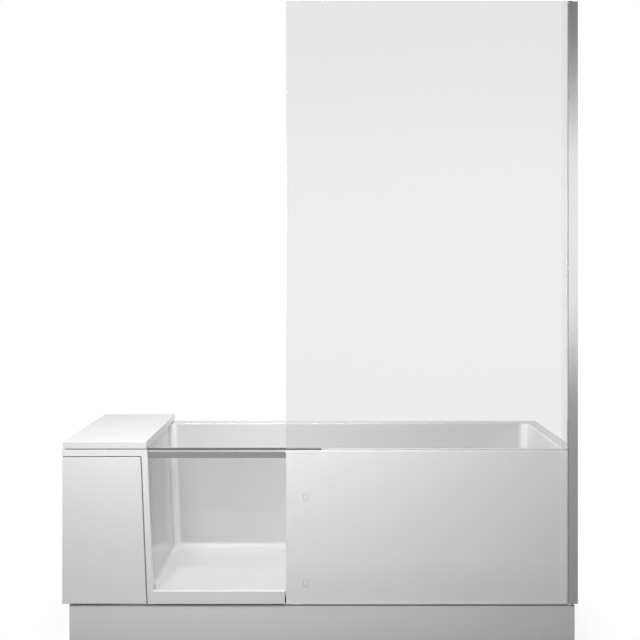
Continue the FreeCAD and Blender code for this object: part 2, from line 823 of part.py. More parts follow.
def hinge_bracket(place):
    """Fixed half of a hinge: a plate on the front wall and two ears round the pin."""
    middle = HINGES[place]
    foot = f"({middle} - {HINGE_HALF})"
    plate_left = f"({JAMB_INNER} + Sizes.shell_wall)"
    pieces = [
        slab(
            f"HingePlate_{place}",
            (plate_left, f"{plate_left} + Sizes.hinge_plate_length"),
            (WALL_INNER, f"{WALL_INNER} + Sizes.hinge_plate"),
            (foot, f"{middle} + {HINGE_HALF}"),
        )
    ]
    for side, ear_foot in (("under", foot), ("over", f"({middle} + Sizes.knuckle_height / 2)")):
        name = f"{place}_{side}"
        height = sz("ear_height")
        pieces += [
            rod(f"Ear_{name}", "Z", HINGE_X, HINGE_Y, ear_foot, sz("knuckle_radius"), height),
            slab(
                f"EarArm_{name}", (HINGE_X, f"{plate_left} + {height}"),
                (WALL_INNER, HINGE_Y), (ear_foot, f"{ear_foot} + {height}"),
            ),
        ]
    bore = rod(
        f"EarBore_{place}", "Z", HINGE_X, HINGE_Y, foot, sz("pin_radius"), f"2 * {HINGE_HALF}"
    )
    return cut(f"HingeBracket_{place}", fuse(f"HingeBody_{place}", *pieces), bore)


def hinge_knuckle(place):
    """Moving half of a hinge: a barrel on an arm behind the stile."""
    middle = HINGES[place]
    height = "(Sizes.knuckle_height - 2 * Sizes.hinge_play)"
    foot = f"({middle} - {height} / 2)"
    barrel = rod(f"Barrel_{place}", "Z", HINGE_X, HINGE_Y, foot, sz("knuckle_radius"), height)
    arm = slab(
        f"KnuckleArm_{place}", (STILE_LEFT, HINGE_X), (DOOR_BACK, HINGE_Y),
        (foot, f"{foot} + {height}"),
    )
    bore = rod(
        f"KnuckleBore_{place}", "Z", HINGE_X, HINGE_Y, foot,
        "Sizes.pin_radius + Sizes.running_fit + Sizes.bush_wall", height,
    )
    return cut(f"HingeKnuckle_{place}", fuse(f"KnuckleBody_{place}", barrel, arm), bore)


def hinge_bush(place):
    middle = HINGES[place]
    inner = "Sizes.pin_radius + Sizes.running_fit"
    height = "(Sizes.knuckle_height / 2 - Sizes.hinge_play)"
    return turned(
        f"HingeBush_{place}",
        [
            (inner, f"-{height}"),
            (f"{inner} + Sizes.bush_wall", f"-{height}"),
            (f"{inner} + Sizes.bush_wall", height),
            (inner, height),
        ],
        HINGE_X, HINGE_Y, middle,
    )


def hinge_pin(place):
    half = HINGE_HALF
    radius, head = sz("pin_radius"), sz("pin_head")
    return turned(
        f"HingePin_{place}",
        [
            ("0", f"-{half}"),
            (radius, f"-{half}"),
            (radius, half),
            (f"{radius} + {head}", half),
            (f"{radius} + {head}", f"{half} + {head}"),
            ("0", f"{half} + {head}"),
        ],
        HINGE_X, HINGE_Y, HINGES[place],
    )


# Seat lid: a board with a round lower edge that turns on pins along the outer end.
LID_LEFT = f"({LEFT} + Sizes.lid_inset)"
LID_FOOT = f"({RIM} + Sizes.lid_gap)"
LID_TOP = f"({LID_FOOT} + Sizes.lid_thickness)"
LID_AXIS_X = f"({LID_LEFT} + Sizes.lid_round)"
LID_AXIS_Z = f"({LID_FOOT} + Sizes.lid_round)"
LID_HINGES = {
    "front": f"({FRONT} + Sizes.lid_hinge_inset)",
    "rear": f"({BACK} - Sizes.lid_hinge_inset)",
}


def lid():
    board = slab(
        "LidBoard", (LID_LEFT, LID_RIGHT), (FRONT, f"{BACK} - Sizes.lid_inset"),
        (LID_FOOT, LID_TOP),
    )
    rolled = fillet(
        "LidRolled", board, sz("lid_round"),
        lambda e: along(e, 1) and e.CenterOfMass.x < 1 + number(LID_LEFT)
        and e.CenterOfMass.z < 1 + number(LID_FOOT),
    )
    eased = fillet(
        "LidEased", rolled, sz("lid_edge"),
        lambda e: e.CenterOfMass.z > number(LID_TOP) - 0.1,
    )
    reach = "(Sizes.lid_round + Sizes.lid_notch_play)"
    half = "(Sizes.lid_bracket / 2 + Sizes.lid_notch_play)"
    pin_half = "(Sizes.lid_pin_length / 2 + Sizes.lid_notch_play)"
    tools = []
    for place, y in LID_HINGES.items():
        tools.append(
            slab(
                f"LidNotch_{place}", (LID_LEFT, f"{LID_AXIS_X} + {reach}"),
                (f"{y} - {half}", f"{y} + {half}"), (LID_FOOT, f"{LID_AXIS_Z} + {reach}"),
            )
        )
        tools.append(
            rod(
                f"LidPinHole_{place}", "Y", LID_AXIS_X, f"{y} - {pin_half}", LID_AXIS_Z,
                "Sizes.lid_pin_radius + Sizes.running_fit", f"2 * {pin_half}",
            )
        )
    return cut("Lid", eased, *tools)


def lid_hinge_brackets():
    """Ears round the pins, each on a thin foot plate that is screwed to the deck."""
    brackets = []
    half = "Sizes.lid_bracket / 2"
    width = sz("lid_bracket")
    stem_left = f"({LID_AXIS_X} - Sizes.lid_round + Sizes.lid_notch_play)"
    stem_right = f"({LID_AXIS_X} + Sizes.lid_round - Sizes.lid_notch_play)"
    for place, y in LID_HINGES.items():
        ear = rod(
            f"LidEar_{place}", "Y", LID_AXIS_X, f"{y} - {half}", LID_AXIS_Z,
            "Sizes.lid_round - Sizes.lid_ear_play", width,
        )
        stem = slab(
            f"LidStem_{place}", (stem_left, stem_right), (f"{y} - {half}", f"{y} + {half}"),
            (RIM, LID_AXIS_Z),
        )
        foot = slab(
            f"LidFoot_{place}", (stem_left, f"{stem_left} + Sizes.lid_bracket_foot"),
            (f"{y} - 2 * {width}", f"{y} + 2 * {width}"), (RIM, f"{RIM} + Sizes.lid_bracket_plate"),
        )
        bore = rod(
            f"LidEarBore_{place}", "Y", LID_AXIS_X, f"{y} - {half}", LID_AXIS_Z,
            sz("lid_pin_radius"), width,
        )
        solid = fuse(f"LidBracketBody_{place}", ear, stem, foot)
        brackets.append(cut(f"LidBracket_{place}", solid, bore))
    return group("LidHingeBrackets", *brackets)


def lid_pins():
    return group(
        "LidPins",
        *[
            rod(
                f"LidPin_{place}", "Y", LID_AXIS_X, f"{y} - Sizes.lid_pin_length / 2",
                LID_AXIS_Z, sz("lid_pin_radius"), sz("lid_pin_length"),
            )
            for place, y in LID_HINGES.items()
        ],
    )


def lid_buffers():
    x = f"({END_TOP} - Sizes.shell_wall - Sizes.hatch_edge / 2)"
    return group(
        "LidBuffers",
        *[
            rod(f"Buffer_{place}", "Z", x, y, RIM, sz("buffer_radius"), sz("lid_gap"))
            for place, y in LID_HINGES.items()
        ],
    )


# Cladding of the lid end, and the recessed plinth.
CLADDING_TOP = f"({RIM} - Sizes.rim_lip - Sizes.cladding_gap)"


def access_panel():
    edge = "(Sizes.jamb_overlap - Sizes.jamb_width - Sizes.cladding_gap)"
    board = prism(
        "AccessBoard", "XZ_Plane",
        [
            (LEFT, PANEL_FOOT),
            (end_wall(PANEL_FOOT, edge), PANEL_FOOT),
            (end_wall(CLADDING_TOP, edge), CLADDING_TOP),
            (LEFT, CLADDING_TOP),
        ],
        FRONT, f"{FRONT} + Sizes.cladding",
    )
    return bevel(
        "AccessPanel", board, sz("edge_bevel"),
        lambda e: e.BoundBox.YMax < number(FRONT) + 0.1,
    )


def end_panel():
    return slab(
        "EndPanel", (LEFT, f"{LEFT} + Sizes.cladding"),
        (f"{FRONT} + Sizes.cladding", BACK), (PANEL_FOOT, CLADDING_TOP),
    )


PLINTH_LEFT = f"({LEFT} + Sizes.plinth_end_setback)"
PLINTH_FRONT = f"({FRONT} + Sizes.plinth_setback)"


def plinth_front():
    return slab(
        "PlinthFront", (PLINTH_LEFT, f"{RIGHT} - Sizes.plinth_right_gap"),
        (PLINTH_FRONT, f"{PLINTH_FRONT} + Sizes.plinth_board"), ("0", PLINTH_TOP),
    )


def plinth_end():
    return slab(
        "PlinthEnd", (PLINTH_LEFT, f"{PLINTH_LEFT} + Sizes.plinth_return"),
        (f"{PLINTH_FRONT} + Sizes.plinth_board", BACK), ("0", PLINTH_TOP),
    )


# Carrying frame: board under the bath floor, square tubes, posts, feet and brackets.
TUBE = sz("tube_size")
FRAME_LEFT = f"({PLINTH_LEFT} + Sizes.plinth_return)"
FRAME_RIGHT = f"({RIGHT_TOP} - Sizes.right_lean)"
RAIL_LEFT = f"({FRAME_LEFT} + {TUBE})"
POST_FRONT = f"({PLINTH_FRONT} + Sizes.plinth_board)"
POST_REAR = f"(-{POST_FRONT})"
FRONT_RAIL = f"({WALL_INNER} + Sizes.rail_inset)"
REAR_RAIL = f"({REAR_INNER} - Sizes.rear_rail_inset - {TUBE})"


def square_tube(name, axis, x, y):
    """A hollow square tube lying at frame height, open at its ends along the axis."""
    wall = sz("tube_wall")
    outside = slab(name + "Outside", x, y, (TUBE_FOOT, TUBE_TOP))
    inner_z = (f"{TUBE_FOOT} + {wall}", f"{TUBE_TOP} - {wall}")
    if axis == "X":
        inner = slab(name + "Inside", x, (f"{y[0]} + {wall}", f"{y[1]} - {wall}"), inner_z)
    else:
        inner = slab(name + "Inside", (f"{x[0]} + {wall}", f"{x[1]} - {wall}"), y, inner_z)
    return cut(name, outside, inner)


def frame_rails():
    x = (RAIL_LEFT, FRAME_RIGHT)
    return group(
        "FrameRails",
        square_tube("RailFront", "X", x, (FRONT_RAIL, f"{FRONT_RAIL} + {TUBE}")),
        square_tube("RailRear", "X", x, (REAR_RAIL, f"{REAR_RAIL} + {TUBE}")),
    )


def frame_crossbars():
    """A wide bar under the lid end and three between the rails."""
    between = (f"{FRONT_RAIL} + {TUBE}", REAR_RAIL)
    first = f"({RAIL_LEFT} + Sizes.foot_inset + Sizes.crossbar_inset)"
    last = f"({FRAME_RIGHT} - Sizes.foot_inset - Sizes.crossbar_inset)"
    places = [first, f"(({first} + {last}) / 2)", last]
    bars = [
        square_tube(f"Crossbar{n}", "Y", (f"{x} - {TUBE} / 2", f"{x} + {TUBE} / 2"), between)
        for n, x in enumerate(places)
    ]
    end_bar = square_tube("CrossbarEnd", "Y", (FRAME_LEFT, RAIL_LEFT), (POST_FRONT, POST_REAR))
    return group("FrameCrossbars", end_bar, *bars)


def corner_posts():
    """Two angle posts that carry the deck over the lid end."""
    wall = sz("post_wall")
    posts = []
    for place, y, side in (("front", POST_FRONT, 1), ("rear", POST_REAR, -1)):
        inner = f"({y} + {side} * {TUBE})"
        web = f"({y} + {side} * {wall})"
        posts.append(
            prism(
                f"Post_{place}", "XY_Plane",
                [
                    (FRAME_LEFT, y),
                    (f"{FRAME_LEFT} + {TUBE}", y),
                    (f"{FRAME_LEFT} + {TUBE}", web),
                    (f"{FRAME_LEFT} + {wall}", web),
                    (f"{FRAME_LEFT} + {wall}", inner),
                    (FRAME_LEFT, inner),
                ],
                TUBE_TOP, DECK_UNDER,
            )
        )
    return group("CornerPosts", *posts)


CLIP_LEVELS = {
    "low": f"({PANEL_FOOT} + Sizes.clip_inset)",
    "high": f"({CLADDING_TOP} - Sizes.clip_inset - Sizes.clip_height)",
}


def panel_clips():
    """Blocks on the posts that the two cladding panels hook on to."""
    clips = []
    post_sides = {
        "front": (POST_FRONT, f"{POST_FRONT} + {TUBE}"),
        "rear": (f"{POST_REAR} - {TUBE}", POST_REAR),
    }
    for level, foot in CLIP_LEVELS.items():
        z = (foot, f"{foot} + Sizes.clip_height")
        front_y = (f"{FRONT} + Sizes.cladding", POST_FRONT)
        clips.append(slab(f"FrontClip_{level}", (FRAME_LEFT, RAIL_LEFT), front_y, z))
        for place, y in post_sides.items():
            end_x = (f"{LEFT} + Sizes.cladding", FRAME_LEFT)
            clips.append(slab(f"EndClip_{level}_{place}", end_x, y, z))
    return group("PanelClips", *clips)


def base_board():
    board = slab(
        "BoardBlank",
        (end_wall(UNDERSIDE, sz("board_margin")), f"{FRAME_RIGHT} - Sizes.board_margin"),
        (f"{WALL_INNER} + Sizes.board_margin", f"{REAR_INNER} - Sizes.board_margin"),
        (TUBE_TOP, UNDERSIDE),
    )
    opening = rod(
        "BoardOpening", "Z", WASTE_X, "0", TUBE_TOP,
        "Sizes.waste_flange + Sizes.waste_clearance", sz("base_board"),
    )
    return cut("BaseBoard", board, opening)


FOOT_FIRST = f"({RAIL_LEFT} + Sizes.foot_inset)"
FOOT_LAST = f"({FRAME_RIGHT} - Sizes.foot_inset)"
FOOT_XS = [FOOT_FIRST, f"(({FOOT_FIRST} + {FOOT_LAST}) / 2)", FOOT_LAST]
FOOT_FRONT = f"({FRONT_RAIL} + {TUBE} / 2)"
FOOT_REAR = f"({REAR_RAIL} + {TUBE} / 2)"
FOOT_PLACES = [(x, y) for x in FOOT_XS for y in (FOOT_FRONT, FOOT_REAR)]


def levelling_feet():
    pad, radius, stud = sz("foot_pad"), sz("foot_radius"), sz("stud_radius")
    profile = [
        ("0", "0"),
        (radius, "0"),
        (radius, f"{pad} / 2"),
        (stud, pad),
        (stud, TUBE_FOOT),
        ("0", TUBE_FOOT),
    ]
    feet = [turned(f"Foot_{n}", profile, x, y, "0") for n, (x, y) in enumerate(FOOT_PLACES)]
    return group("LevellingFeet", *feet)


def plinth_clips():
    """Clips on the front feet's studs that hold the plinth board."""
    clips = []
    half = "Sizes.plinth_clip_width / 2"
    foot, height = sz("plinth_clip_level"), sz("plinth_clip_height")
    for n, x in enumerate(FOOT_XS):
        block = slab(
            f"PlinthClipBlock_{n}", (f"{x} - {half}", f"{x} + {half}"),
            (POST_FRONT, f"{FOOT_FRONT} + {half}"), (foot, f"{foot} + {height}"),
        )
        bore = rod(
            f"PlinthClipBore_{n}", "Z", x, FOOT_FRONT, foot,
            "Sizes.stud_radius + Sizes.running_fit", height,
        )
        clips.append(cut(f"PlinthClip_{n}", block, bore))
    return group("PlinthClips", *clips)


def pane_ledge():
    return slab(
        "PaneLedge", (PANE_LEFT, f"{PROFILE_LEFT} - Sizes.bond_gap"),
        (PANE_FRONT, WALL_OUTER), (LEDGE_FOOT, PANEL_FOOT),
    )


BRACKET_FRONT = f"({WALL_OUTER} - Sizes.bracket_lap)"


def ledge_brackets():
    """Arms from the front rail that carry the ledge under the pane."""
    first = f"({PANE_LEFT} + Sizes.bracket_inset)"
    last = f"({PROFILE_LEFT} - Sizes.bracket_inset)"
    half = "Sizes.bracket_width / 2"
    arms = [
        slab(
            f"LedgeArm_{n}", (f"{x} - {half}", f"{x} + {half}"), (BRACKET_FRONT, FRONT_RAIL),
            (f"{LEDGE_FOOT} - Sizes.bracket_height", LEDGE_FOOT),
        )
        for n, x in enumerate((first, f"(({first} + {last}) / 2)", last))
    ]
    return group("LedgeBrackets", *arms)


# Waste: flange in the floor, lift-up plug, trap with an outlet spigot.
TRAP_TOP = f"({FLOOR} - Sizes.waste_depth)"
TRAP_FOOT = f"({TRAP_TOP} - Sizes.trap_depth)"
SPIGOT_Z = f"({TRAP_TOP} - Sizes.spigot_drop)"
PIPE_Z = f"({TRAP_TOP} - Sizes.pipe_drop)"
PIPE_END = "(Sizes.trap_radius + Sizes.socket_length)"
SOCKET_RADIUS = "Sizes.pipe_radius + Sizes.socket_wall"


def waste_flange():
    outer, bore = sz("waste_radius"), "(Sizes.waste_radius - Sizes.waste_wall)"
    rise, depth = sz("flange_height"), sz("waste_depth")
    return turned(
        "WasteFlange",
        [
            (bore, f"-{depth}"),
            (outer, f"-{depth}"),
            (outer, "0"),
            (sz("waste_flange"), "0"),
            (f"Sizes.waste_flange - {rise} / 2", rise),
            (bore, rise),
        ],
        WASTE_X, "0", FLOOR,
    )


def waste_washer():
    inner = "Sizes.waste_radius + Sizes.running_fit"
    height = sz("washer_height")
    return turned(
        "WasteWasher",
        [
            (inner, f"-{height}"),
            (sz("waste_flange"), f"-{height}"),
            (sz("waste_flange"), "0"),
            (inner, "0"),
        ],
        WASTE_X, "0", UNDERSIDE,
    )


def plug():
    radius, height, stem = sz("plug_radius"), sz("plug_height"), sz("stem_radius")
    return turned(
        "Plug",
        [
            ("0", f"-{sz('stem_length')}"),
            (stem, f"-{sz('stem_length')}"),
            (stem, "0"),
            (radius, "0"),
            (radius, f"{height} / 2"),
            (f"{radius} - {height} / 2", height),
            ("0", height),
        ],
        WASTE_X, "0", f"{FLOOR} + Sizes.flange_height",
    )


def trap():
    radius = sz("trap_radius")
    pot = turned(
        "TrapPot",
        [
            ("0", TRAP_FOOT),
            (radius, TRAP_FOOT),
            (radius, f"{TRAP_TOP} - Sizes.trap_shoulder"),
            ("Sizes.waste_radius + Sizes.collar_rise", TRAP_TOP),
            ("0", TRAP_TOP),
        ],
        WASTE_X, "0", "0",
    )
    outer, length = sz("spigot_radius"), sz("spigot_length")
    reach = f"(Sizes.spigot_reach - {length})"
    collar = rod(
        "SpigotCollar", "X", WASTE_X, "0", SPIGOT_Z, f"{outer} + Sizes.collar_rise", reach
    )
    spigot = rod("Spigot", "X", f"{WASTE_X} + {reach}", "0", SPIGOT_Z, outer, length)
    bore = rod(
        "SpigotBore", "X", f"{WASTE_X} + {radius}", "0", SPIGOT_Z,
        f"{outer} - Sizes.spigot_wall", f"Sizes.spigot_reach - {radius}",
    )
    boss = rod("OverflowBoss", "Y", WASTE_X, "0", PIPE_Z, SOCKET_RADIUS, PIPE_END)
    return cut("Trap", fuse("TrapBody", pot, collar, spigot, boss), bore)


# Overflow: body behind the rear wall, turning knob in front of it, pipe down to the trap.
PIPE_Y = f"({REAR_OUTER} + Sizes.overflow_body / 2 + Sizes.socket_wall)"
PIPE_TOP = f"({OVERFLOW_Z} - Sizes.overflow_radius - Sizes.socket_length)"
SHAFT_END = f"({REAR_OUTER} + Sizes.overflow_body / 2)"
KNOB_BACK = f"({REAR_INNER} - Sizes.knob_gap)"


def overflow_body():
    radius, wall = sz("overflow_radius"), sz("shell_wall")
    neck = rod("OverflowNeck", "Y", WASTE_X, REAR_INNER, OVERFLOW_Z, radius, f"2 * {wall}")
    flange = rod(
        "OverflowFlange", "Y", WASTE_X, REAR_OUTER, OVERFLOW_Z,
        f"{radius} + Sizes.overflow_rim", wall,
    )
    drum = rod(
        "OverflowDrum", "Y", WASTE_X, REAR_OUTER, OVERFLOW_Z,
        f"{radius} + Sizes.overflow_wall", sz("overflow_body"),
    )
    socket = rod(
        "OverflowSocket", "Z", WASTE_X, PIPE_Y, PIPE_TOP,
        SOCKET_RADIUS, f"{radius} + Sizes.socket_length",
    )
    bore = rod(
        "ShaftBore", "Y", WASTE_X, REAR_INNER, OVERFLOW_Z,
        "Sizes.shaft_radius + Sizes.running_fit", f"{SHAFT_END} - {REAR_INNER}",
    )
    return cut("OverflowBody", fuse("OverflowSolid", neck, flange, drum, socket), bore)


def overflow_knob():
    """A round handle with a grip bar, on a shaft, with the water gap behind it."""
    radius, depth, wall = sz("overflow_knob"), sz("knob_depth"), sz("knob_wall")
    shaft = sz("shaft_radius")
    shaft_length = f"({SHAFT_END} - {KNOB_BACK} - {wall} / 2)"
    handle = turned(
        "KnobDisc",
        [
            ("0", f"-{depth}"),
            (f"{radius} - {wall}", f"-{depth}"),
            (radius, f"-{depth} + {wall}"),
            (radius, "0"),
            (shaft, "0"),
            (shaft, shaft_length),
            ("0", shaft_length),
        ],
        WASTE_X, KNOB_BACK, OVERFLOW_Z, axis="Y",
    )
    reach = f"({radius} - Sizes.knob_dish)"
    half = "Sizes.grip_width / 2"
    front = f"({KNOB_BACK} - {depth})"
    grip = slab(
        "KnobGrip", (f"{WASTE_X} - {reach}", f"{WASTE_X} + {reach}"),
        (f"{front} - Sizes.grip_rise", f"{front} + {wall}"),
        (f"{OVERFLOW_Z} - {half}", f"{OVERFLOW_Z} + {half}"),
    )
    return fuse("OverflowKnob", handle, grip)


def overflow_pipe():
    """A tube with two mitred bends, from the overflow's socket down and forward to the trap."""
    body = doc.addObject("PartDesign::Body", "OverflowPipe")
    path = body.newObject("Sketcher::SketchObject", "PipePath")
    side = next(f for f in body.Origin.OriginFeatures if f.Role == "YZ_Plane")
    path.AttachmentSupport = [(side, "")]
    path.MapMode = "FlatFace"
    path.setExpression("AttachmentOffset.Base.z", WASTE_X)
    offset = sz("pipe_offset")
    route = [
        (PIPE_Y, PIPE_TOP),
        (PIPE_Y, f"{PIPE_Z} + {offset}"),
        (f"{PIPE_Y} - {offset}", PIPE_Z),
        (PIPE_END, PIPE_Z),
    ]
    draw_line(path, route)

    section = body.newObject("Sketcher::SketchObject", "PipeSection")
    flat = next(f for f in body.Origin.OriginFeatures if f.Role == "XY_Plane")
    section.AttachmentSupport = [(flat, "")]
    section.MapMode = "FlatFace"
    for axis, place in zip("xyz", (WASTE_X, PIPE_Y, PIPE_TOP)):
        section.setExpression(f"AttachmentOffset.Base.{axis}", place)
    radii = {"outer": sz("pipe_radius"), "inner": "Sizes.pipe_radius - Sizes.pipe_wall"}
    for name, radius in radii.items():
        ring = section.addGeometry(Part.Circle(V(), V(0, 0, 1), number(radius)), False)
        section.addConstraint(Sketcher.Constraint("Coincident", ring, 3, -1, 1))
        index = section.addConstraint(Sketcher.Constraint("Radius", ring, number(radius)))
        section.renameConstraint(index, name)
        section.setExpression(f"Constraints.{name}", radius)
    pipe = body.newObject("PartDesign::AdditivePipe", "PipeSweep")
    pipe.Profile = section
    pipe.Spine = (path, [f"Edge{n}" for n in range(1, len(route))])
    pipe.Transition = "Right corner"
    return body


PIECES = {
    "tub_shell": tub_shell,
    "end_frame": end_frame,
    "base_board": base_board,
    "frame_rails": frame_rails,
    "frame_crossbars": frame_crossbars,
    "corner_posts": corner_posts,
    "levelling_feet": levelling_feet,
    "plinth_front": plinth_front,
    "plinth_end": plinth_end,
    "plinth_clips": plinth_clips,
    "access_panel": access_panel,
    "end_panel": end_panel,
    "panel_clips": panel_clips,
    "pane_ledge": pane_ledge,
    "ledge_brackets": ledge_brackets,
    "screen_glass": screen_glass,
    "front_panel": front_panel,
    "wall_profile": wall_profile,
    "profile_cover": profile_cover,
    "profile_cap": profile_cap,
    "profile_gaskets": profile_gaskets,
    "screen_strip": screen_strip,
    "door_glass": door_glass,
    "door_top_rail": door_top_rail,
    "door_cap": door_cap,
    "door_stile": door_stile,
    "door_seal": door_seal,
    "lid": lid,
    "lid_hinge_brackets": lid_hinge_brackets,
    "lid_pins": lid_pins,
    "lid_buffers": lid_buffers,
    "lock_guide": lock_guide,
    "lock_bolt": lock_bolt,
    "lock_knob": lock_knob,
    "waste_flange": waste_flange,
    "waste_washer": waste_washer,
    "plug": plug,
    "trap": trap,
    "overflow_body": overflow_body,
    "overflow_knob": overflow_knob,
    "overflow_pipe": overflow_pipe,
}
for label, make in PIECES.items():
    publish(label, make())
HINGE_PIECES = {
    "hinge_brackets": hinge_bracket,
    "hinge_knuckles": hinge_knuckle,
    "hinge_bushes": hinge_bush,
    "hinge_pins": hinge_pin,
}
for label, make in HINGE_PIECES.items():
    publish(label, group(label.title().replace("_", ""), *[make(place) for place in HINGES]))
doc.recompute()

failed = [o.Name for o in doc.Objects if {"Invalid", "Error"} & set(o.State)]
if failed:
    raise RuntimeError(f"these objects failed to build: {failed}")
for piece in published:
    if piece.Shape.isNull() or not piece.Shape.isValid() or not piece.Shape.Solids:
        raise RuntimeError(f"{piece.Label} has no valid solid")

os.makedirs("parts", exist_ok=True)
for piece in published:
    piece.Shape.exportStep(f"parts/{piece.Label}.step")
    print(f"{piece.Label}: {len(piece.Shape.Solids)} solids, {piece.Shape.Volume / 1000:.1f} cm3")
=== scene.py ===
import math

import bmesh
import bpy
import numpy as np
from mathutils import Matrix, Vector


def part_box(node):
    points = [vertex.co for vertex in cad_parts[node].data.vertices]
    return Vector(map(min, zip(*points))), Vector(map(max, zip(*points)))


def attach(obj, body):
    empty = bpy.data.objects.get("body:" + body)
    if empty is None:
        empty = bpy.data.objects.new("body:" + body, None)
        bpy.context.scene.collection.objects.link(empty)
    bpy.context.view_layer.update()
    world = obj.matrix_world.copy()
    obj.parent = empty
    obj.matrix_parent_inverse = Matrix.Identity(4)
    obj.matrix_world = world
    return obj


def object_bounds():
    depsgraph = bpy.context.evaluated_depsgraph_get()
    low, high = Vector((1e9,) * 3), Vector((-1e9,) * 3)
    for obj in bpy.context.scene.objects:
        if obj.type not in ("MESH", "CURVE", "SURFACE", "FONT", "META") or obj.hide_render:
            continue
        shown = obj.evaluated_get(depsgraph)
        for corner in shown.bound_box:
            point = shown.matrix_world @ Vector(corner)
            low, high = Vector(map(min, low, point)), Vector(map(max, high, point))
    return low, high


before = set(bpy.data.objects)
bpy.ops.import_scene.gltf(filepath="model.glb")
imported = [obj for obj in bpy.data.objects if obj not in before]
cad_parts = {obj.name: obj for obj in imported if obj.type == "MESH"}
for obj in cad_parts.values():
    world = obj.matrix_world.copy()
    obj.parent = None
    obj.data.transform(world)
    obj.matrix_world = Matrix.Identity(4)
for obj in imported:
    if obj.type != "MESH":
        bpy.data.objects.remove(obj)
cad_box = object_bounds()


# Studio
# A white floor, a soft lamp high at the front, a weak one at the right, a far one at the left, narrow
# ones over the bath and over its right end, and a low fill. The camera stands level before the bath.
scene = bpy.context.scene
scene.view_settings.view_transform = "Standard"

camera_data = bpy.data.cameras.new("Camera")
camera_data.sensor_width = 36.0
camera_data.lens = 64.86
camera_data.shift_y = -0.072
camera = bpy.data.objects.new("Camera", camera_data)
camera.location = (0.0, -4.175, 1.219)
camera.rotation_euler = (math.radians(90.0), 0.0, 0.0)
scene.collection.objects.link(camera)
scene.camera = camera


def put(tree, kind, inputs=None, **settings):
    """Adds one node, sets its properties, and sets or joins its inputs; returns its outputs."""
    made = tree.nodes.new(kind)
    for name, value in settings.items():
        setattr(made, name, value)
    for key, value in (inputs or {}).items():
        if isinstance(value, bpy.types.NodeSocket):
            tree.links.new(value, made.inputs[key])
        else:
            made.inputs[key].default_value = value
    return made.outputs


def sums(tree, operation, first, second):
    """Joins two values by one step of arithmetic."""
    return put(tree, "ShaderNodeMath", {0: first, 1: second}, operation=operation)[0]


def spread(tree, value, start, end, low=0.0, high=1.0):
    """Spreads a value between start and end evenly over low to high, and holds it there beyond."""
    return put(tree, "ShaderNodeMapRange", {0: value, 1: start, 2: end, 3: low, 4: high})[0]


def blend(tree, share, first, second):
    """Mixes two colours: all of the first where the share is 0, all of the second where it is 1."""
    return put(tree, "ShaderNodeMix", {0: share, 6: first, 7: second}, data_type="RGBA")[2]


def ramp(tree, factor, stops):
    """Adds a colour ramp in greys, given as (place, grey) pairs."""
    made = tree.nodes.new("ShaderNodeValToRGB")
    elements = made.color_ramp.elements
    while len(elements) < len(stops):
        elements.new(0.5)
    for element, (place, grey) in zip(elements, stops):
        element.position = place
        element.color = (grey, grey, grey, 1.0)
    tree.links.new(factor, made.inputs[0])
    return made.outputs[0]


# The room has heights from 0, straight down, over 0.5 at eye level to 1, straight up. Polished pieces
# mirror a pale band at eye level, and white to the rear; matt ones get the low fill; the eye sees white.
white = (1.0, 1.0, 1.0, 1.0)
half_blend = 0.15
world = bpy.data.worlds.new("Studio")
scene.world = world
world.use_nodes = True
tree = world.node_tree
tree.nodes.clear()
heading = put(tree, "ShaderNodeTexCoord")["Generated"]
axes = put(tree, "ShaderNodeSeparateXYZ", {0: heading})
height = put(tree, "ShaderNodeMath", {0: axes["Z"], 1: 0.5, 2: 0.5}, operation="MULTIPLY_ADD")[0]
room = ramp(tree, height, [
    (0.0, 0.25), (0.36, 0.30), (0.405, 0.34), (0.446, 0.38), (0.462, 0.62), (0.476, 0.84),
    (0.49, 1.0), (0.545, 1.0), (0.553, 0.95), (0.574, 0.57), (0.591, 0.36), (0.607, 0.25),
    (0.75, 0.30), (1.0, 0.80),
])
rearward = spread(tree, axes["Y"], -half_blend, half_blend)
mirrored = blend(tree, rearward, room, white)
fill = ramp(tree, height, [(0.0, 0.018), (0.45, 0.045), (0.6, 0.126), (1.0, 0.198)])
rays = put(tree, "ShaderNodeLightPath")
lit = blend(tree, rays["Is Glossy Ray"], fill, mirrored)
direct = sums(tree, "MAXIMUM", rays["Is Camera Ray"], rays["Is Transmission Ray"])
seen = blend(tree, direct, lit, white)
sky = put(tree, "ShaderNodeBackground", {"Color": seen, "Strength": 1.0})[0]
put(tree, "ShaderNodeOutputWorld", {"Surface": sky})

floor_side, floor_depth = 1.15, 0.64
shadow_reach, shadow_share = 0.18, 0.09
paper_colour, dim_colour = (0.90, 0.90, 0.90, 1.0), (0.20, 0.20, 0.20, 1.0)
floor_mesh = bpy.data.meshes.new("Floor")
floor_mesh.from_pydata(
    [
        (-floor_side, -floor_depth, 0.0), (floor_side, -floor_depth, 0.0),
        (floor_side, floor_depth, 0.0), (-floor_side, floor_depth, 0.0),
    ],
    [], [(0, 1, 2, 3)],
)
floor = bpy.data.objects.new("Floor", floor_mesh)
scene.collection.objects.link(floor)
paper = bpy.data.materials.new("Floor paper")
paper.use_nodes = True
tree = paper.node_tree
tree.nodes.clear()
place = put(tree, "ShaderNodeTexCoord")["Object"]
level_place = put(
    tree, "ShaderNodeVectorMath", {0: place, 1: (1.0, 1.0, 0.0)}, operation="MULTIPLY"
)[0]
reach = put(tree, "ShaderNodeVectorMath", {0: level_place}, operation="ABSOLUTE")[0]
bath_half = (cad_box[1][0], cad_box[1][1], 0.0)
beyond = put(tree, "ShaderNodeVectorMath", {0: reach, 1: bath_half}, operation="SUBTRACT")[0]
away = put(tree, "ShaderNodeVectorMath", {0: beyond, 1: (0.0, 0.0, 0.0)}, operation="MAXIMUM")[0]
gap = put(tree, "ShaderNodeVectorMath", {0: away}, operation="LENGTH")[1]
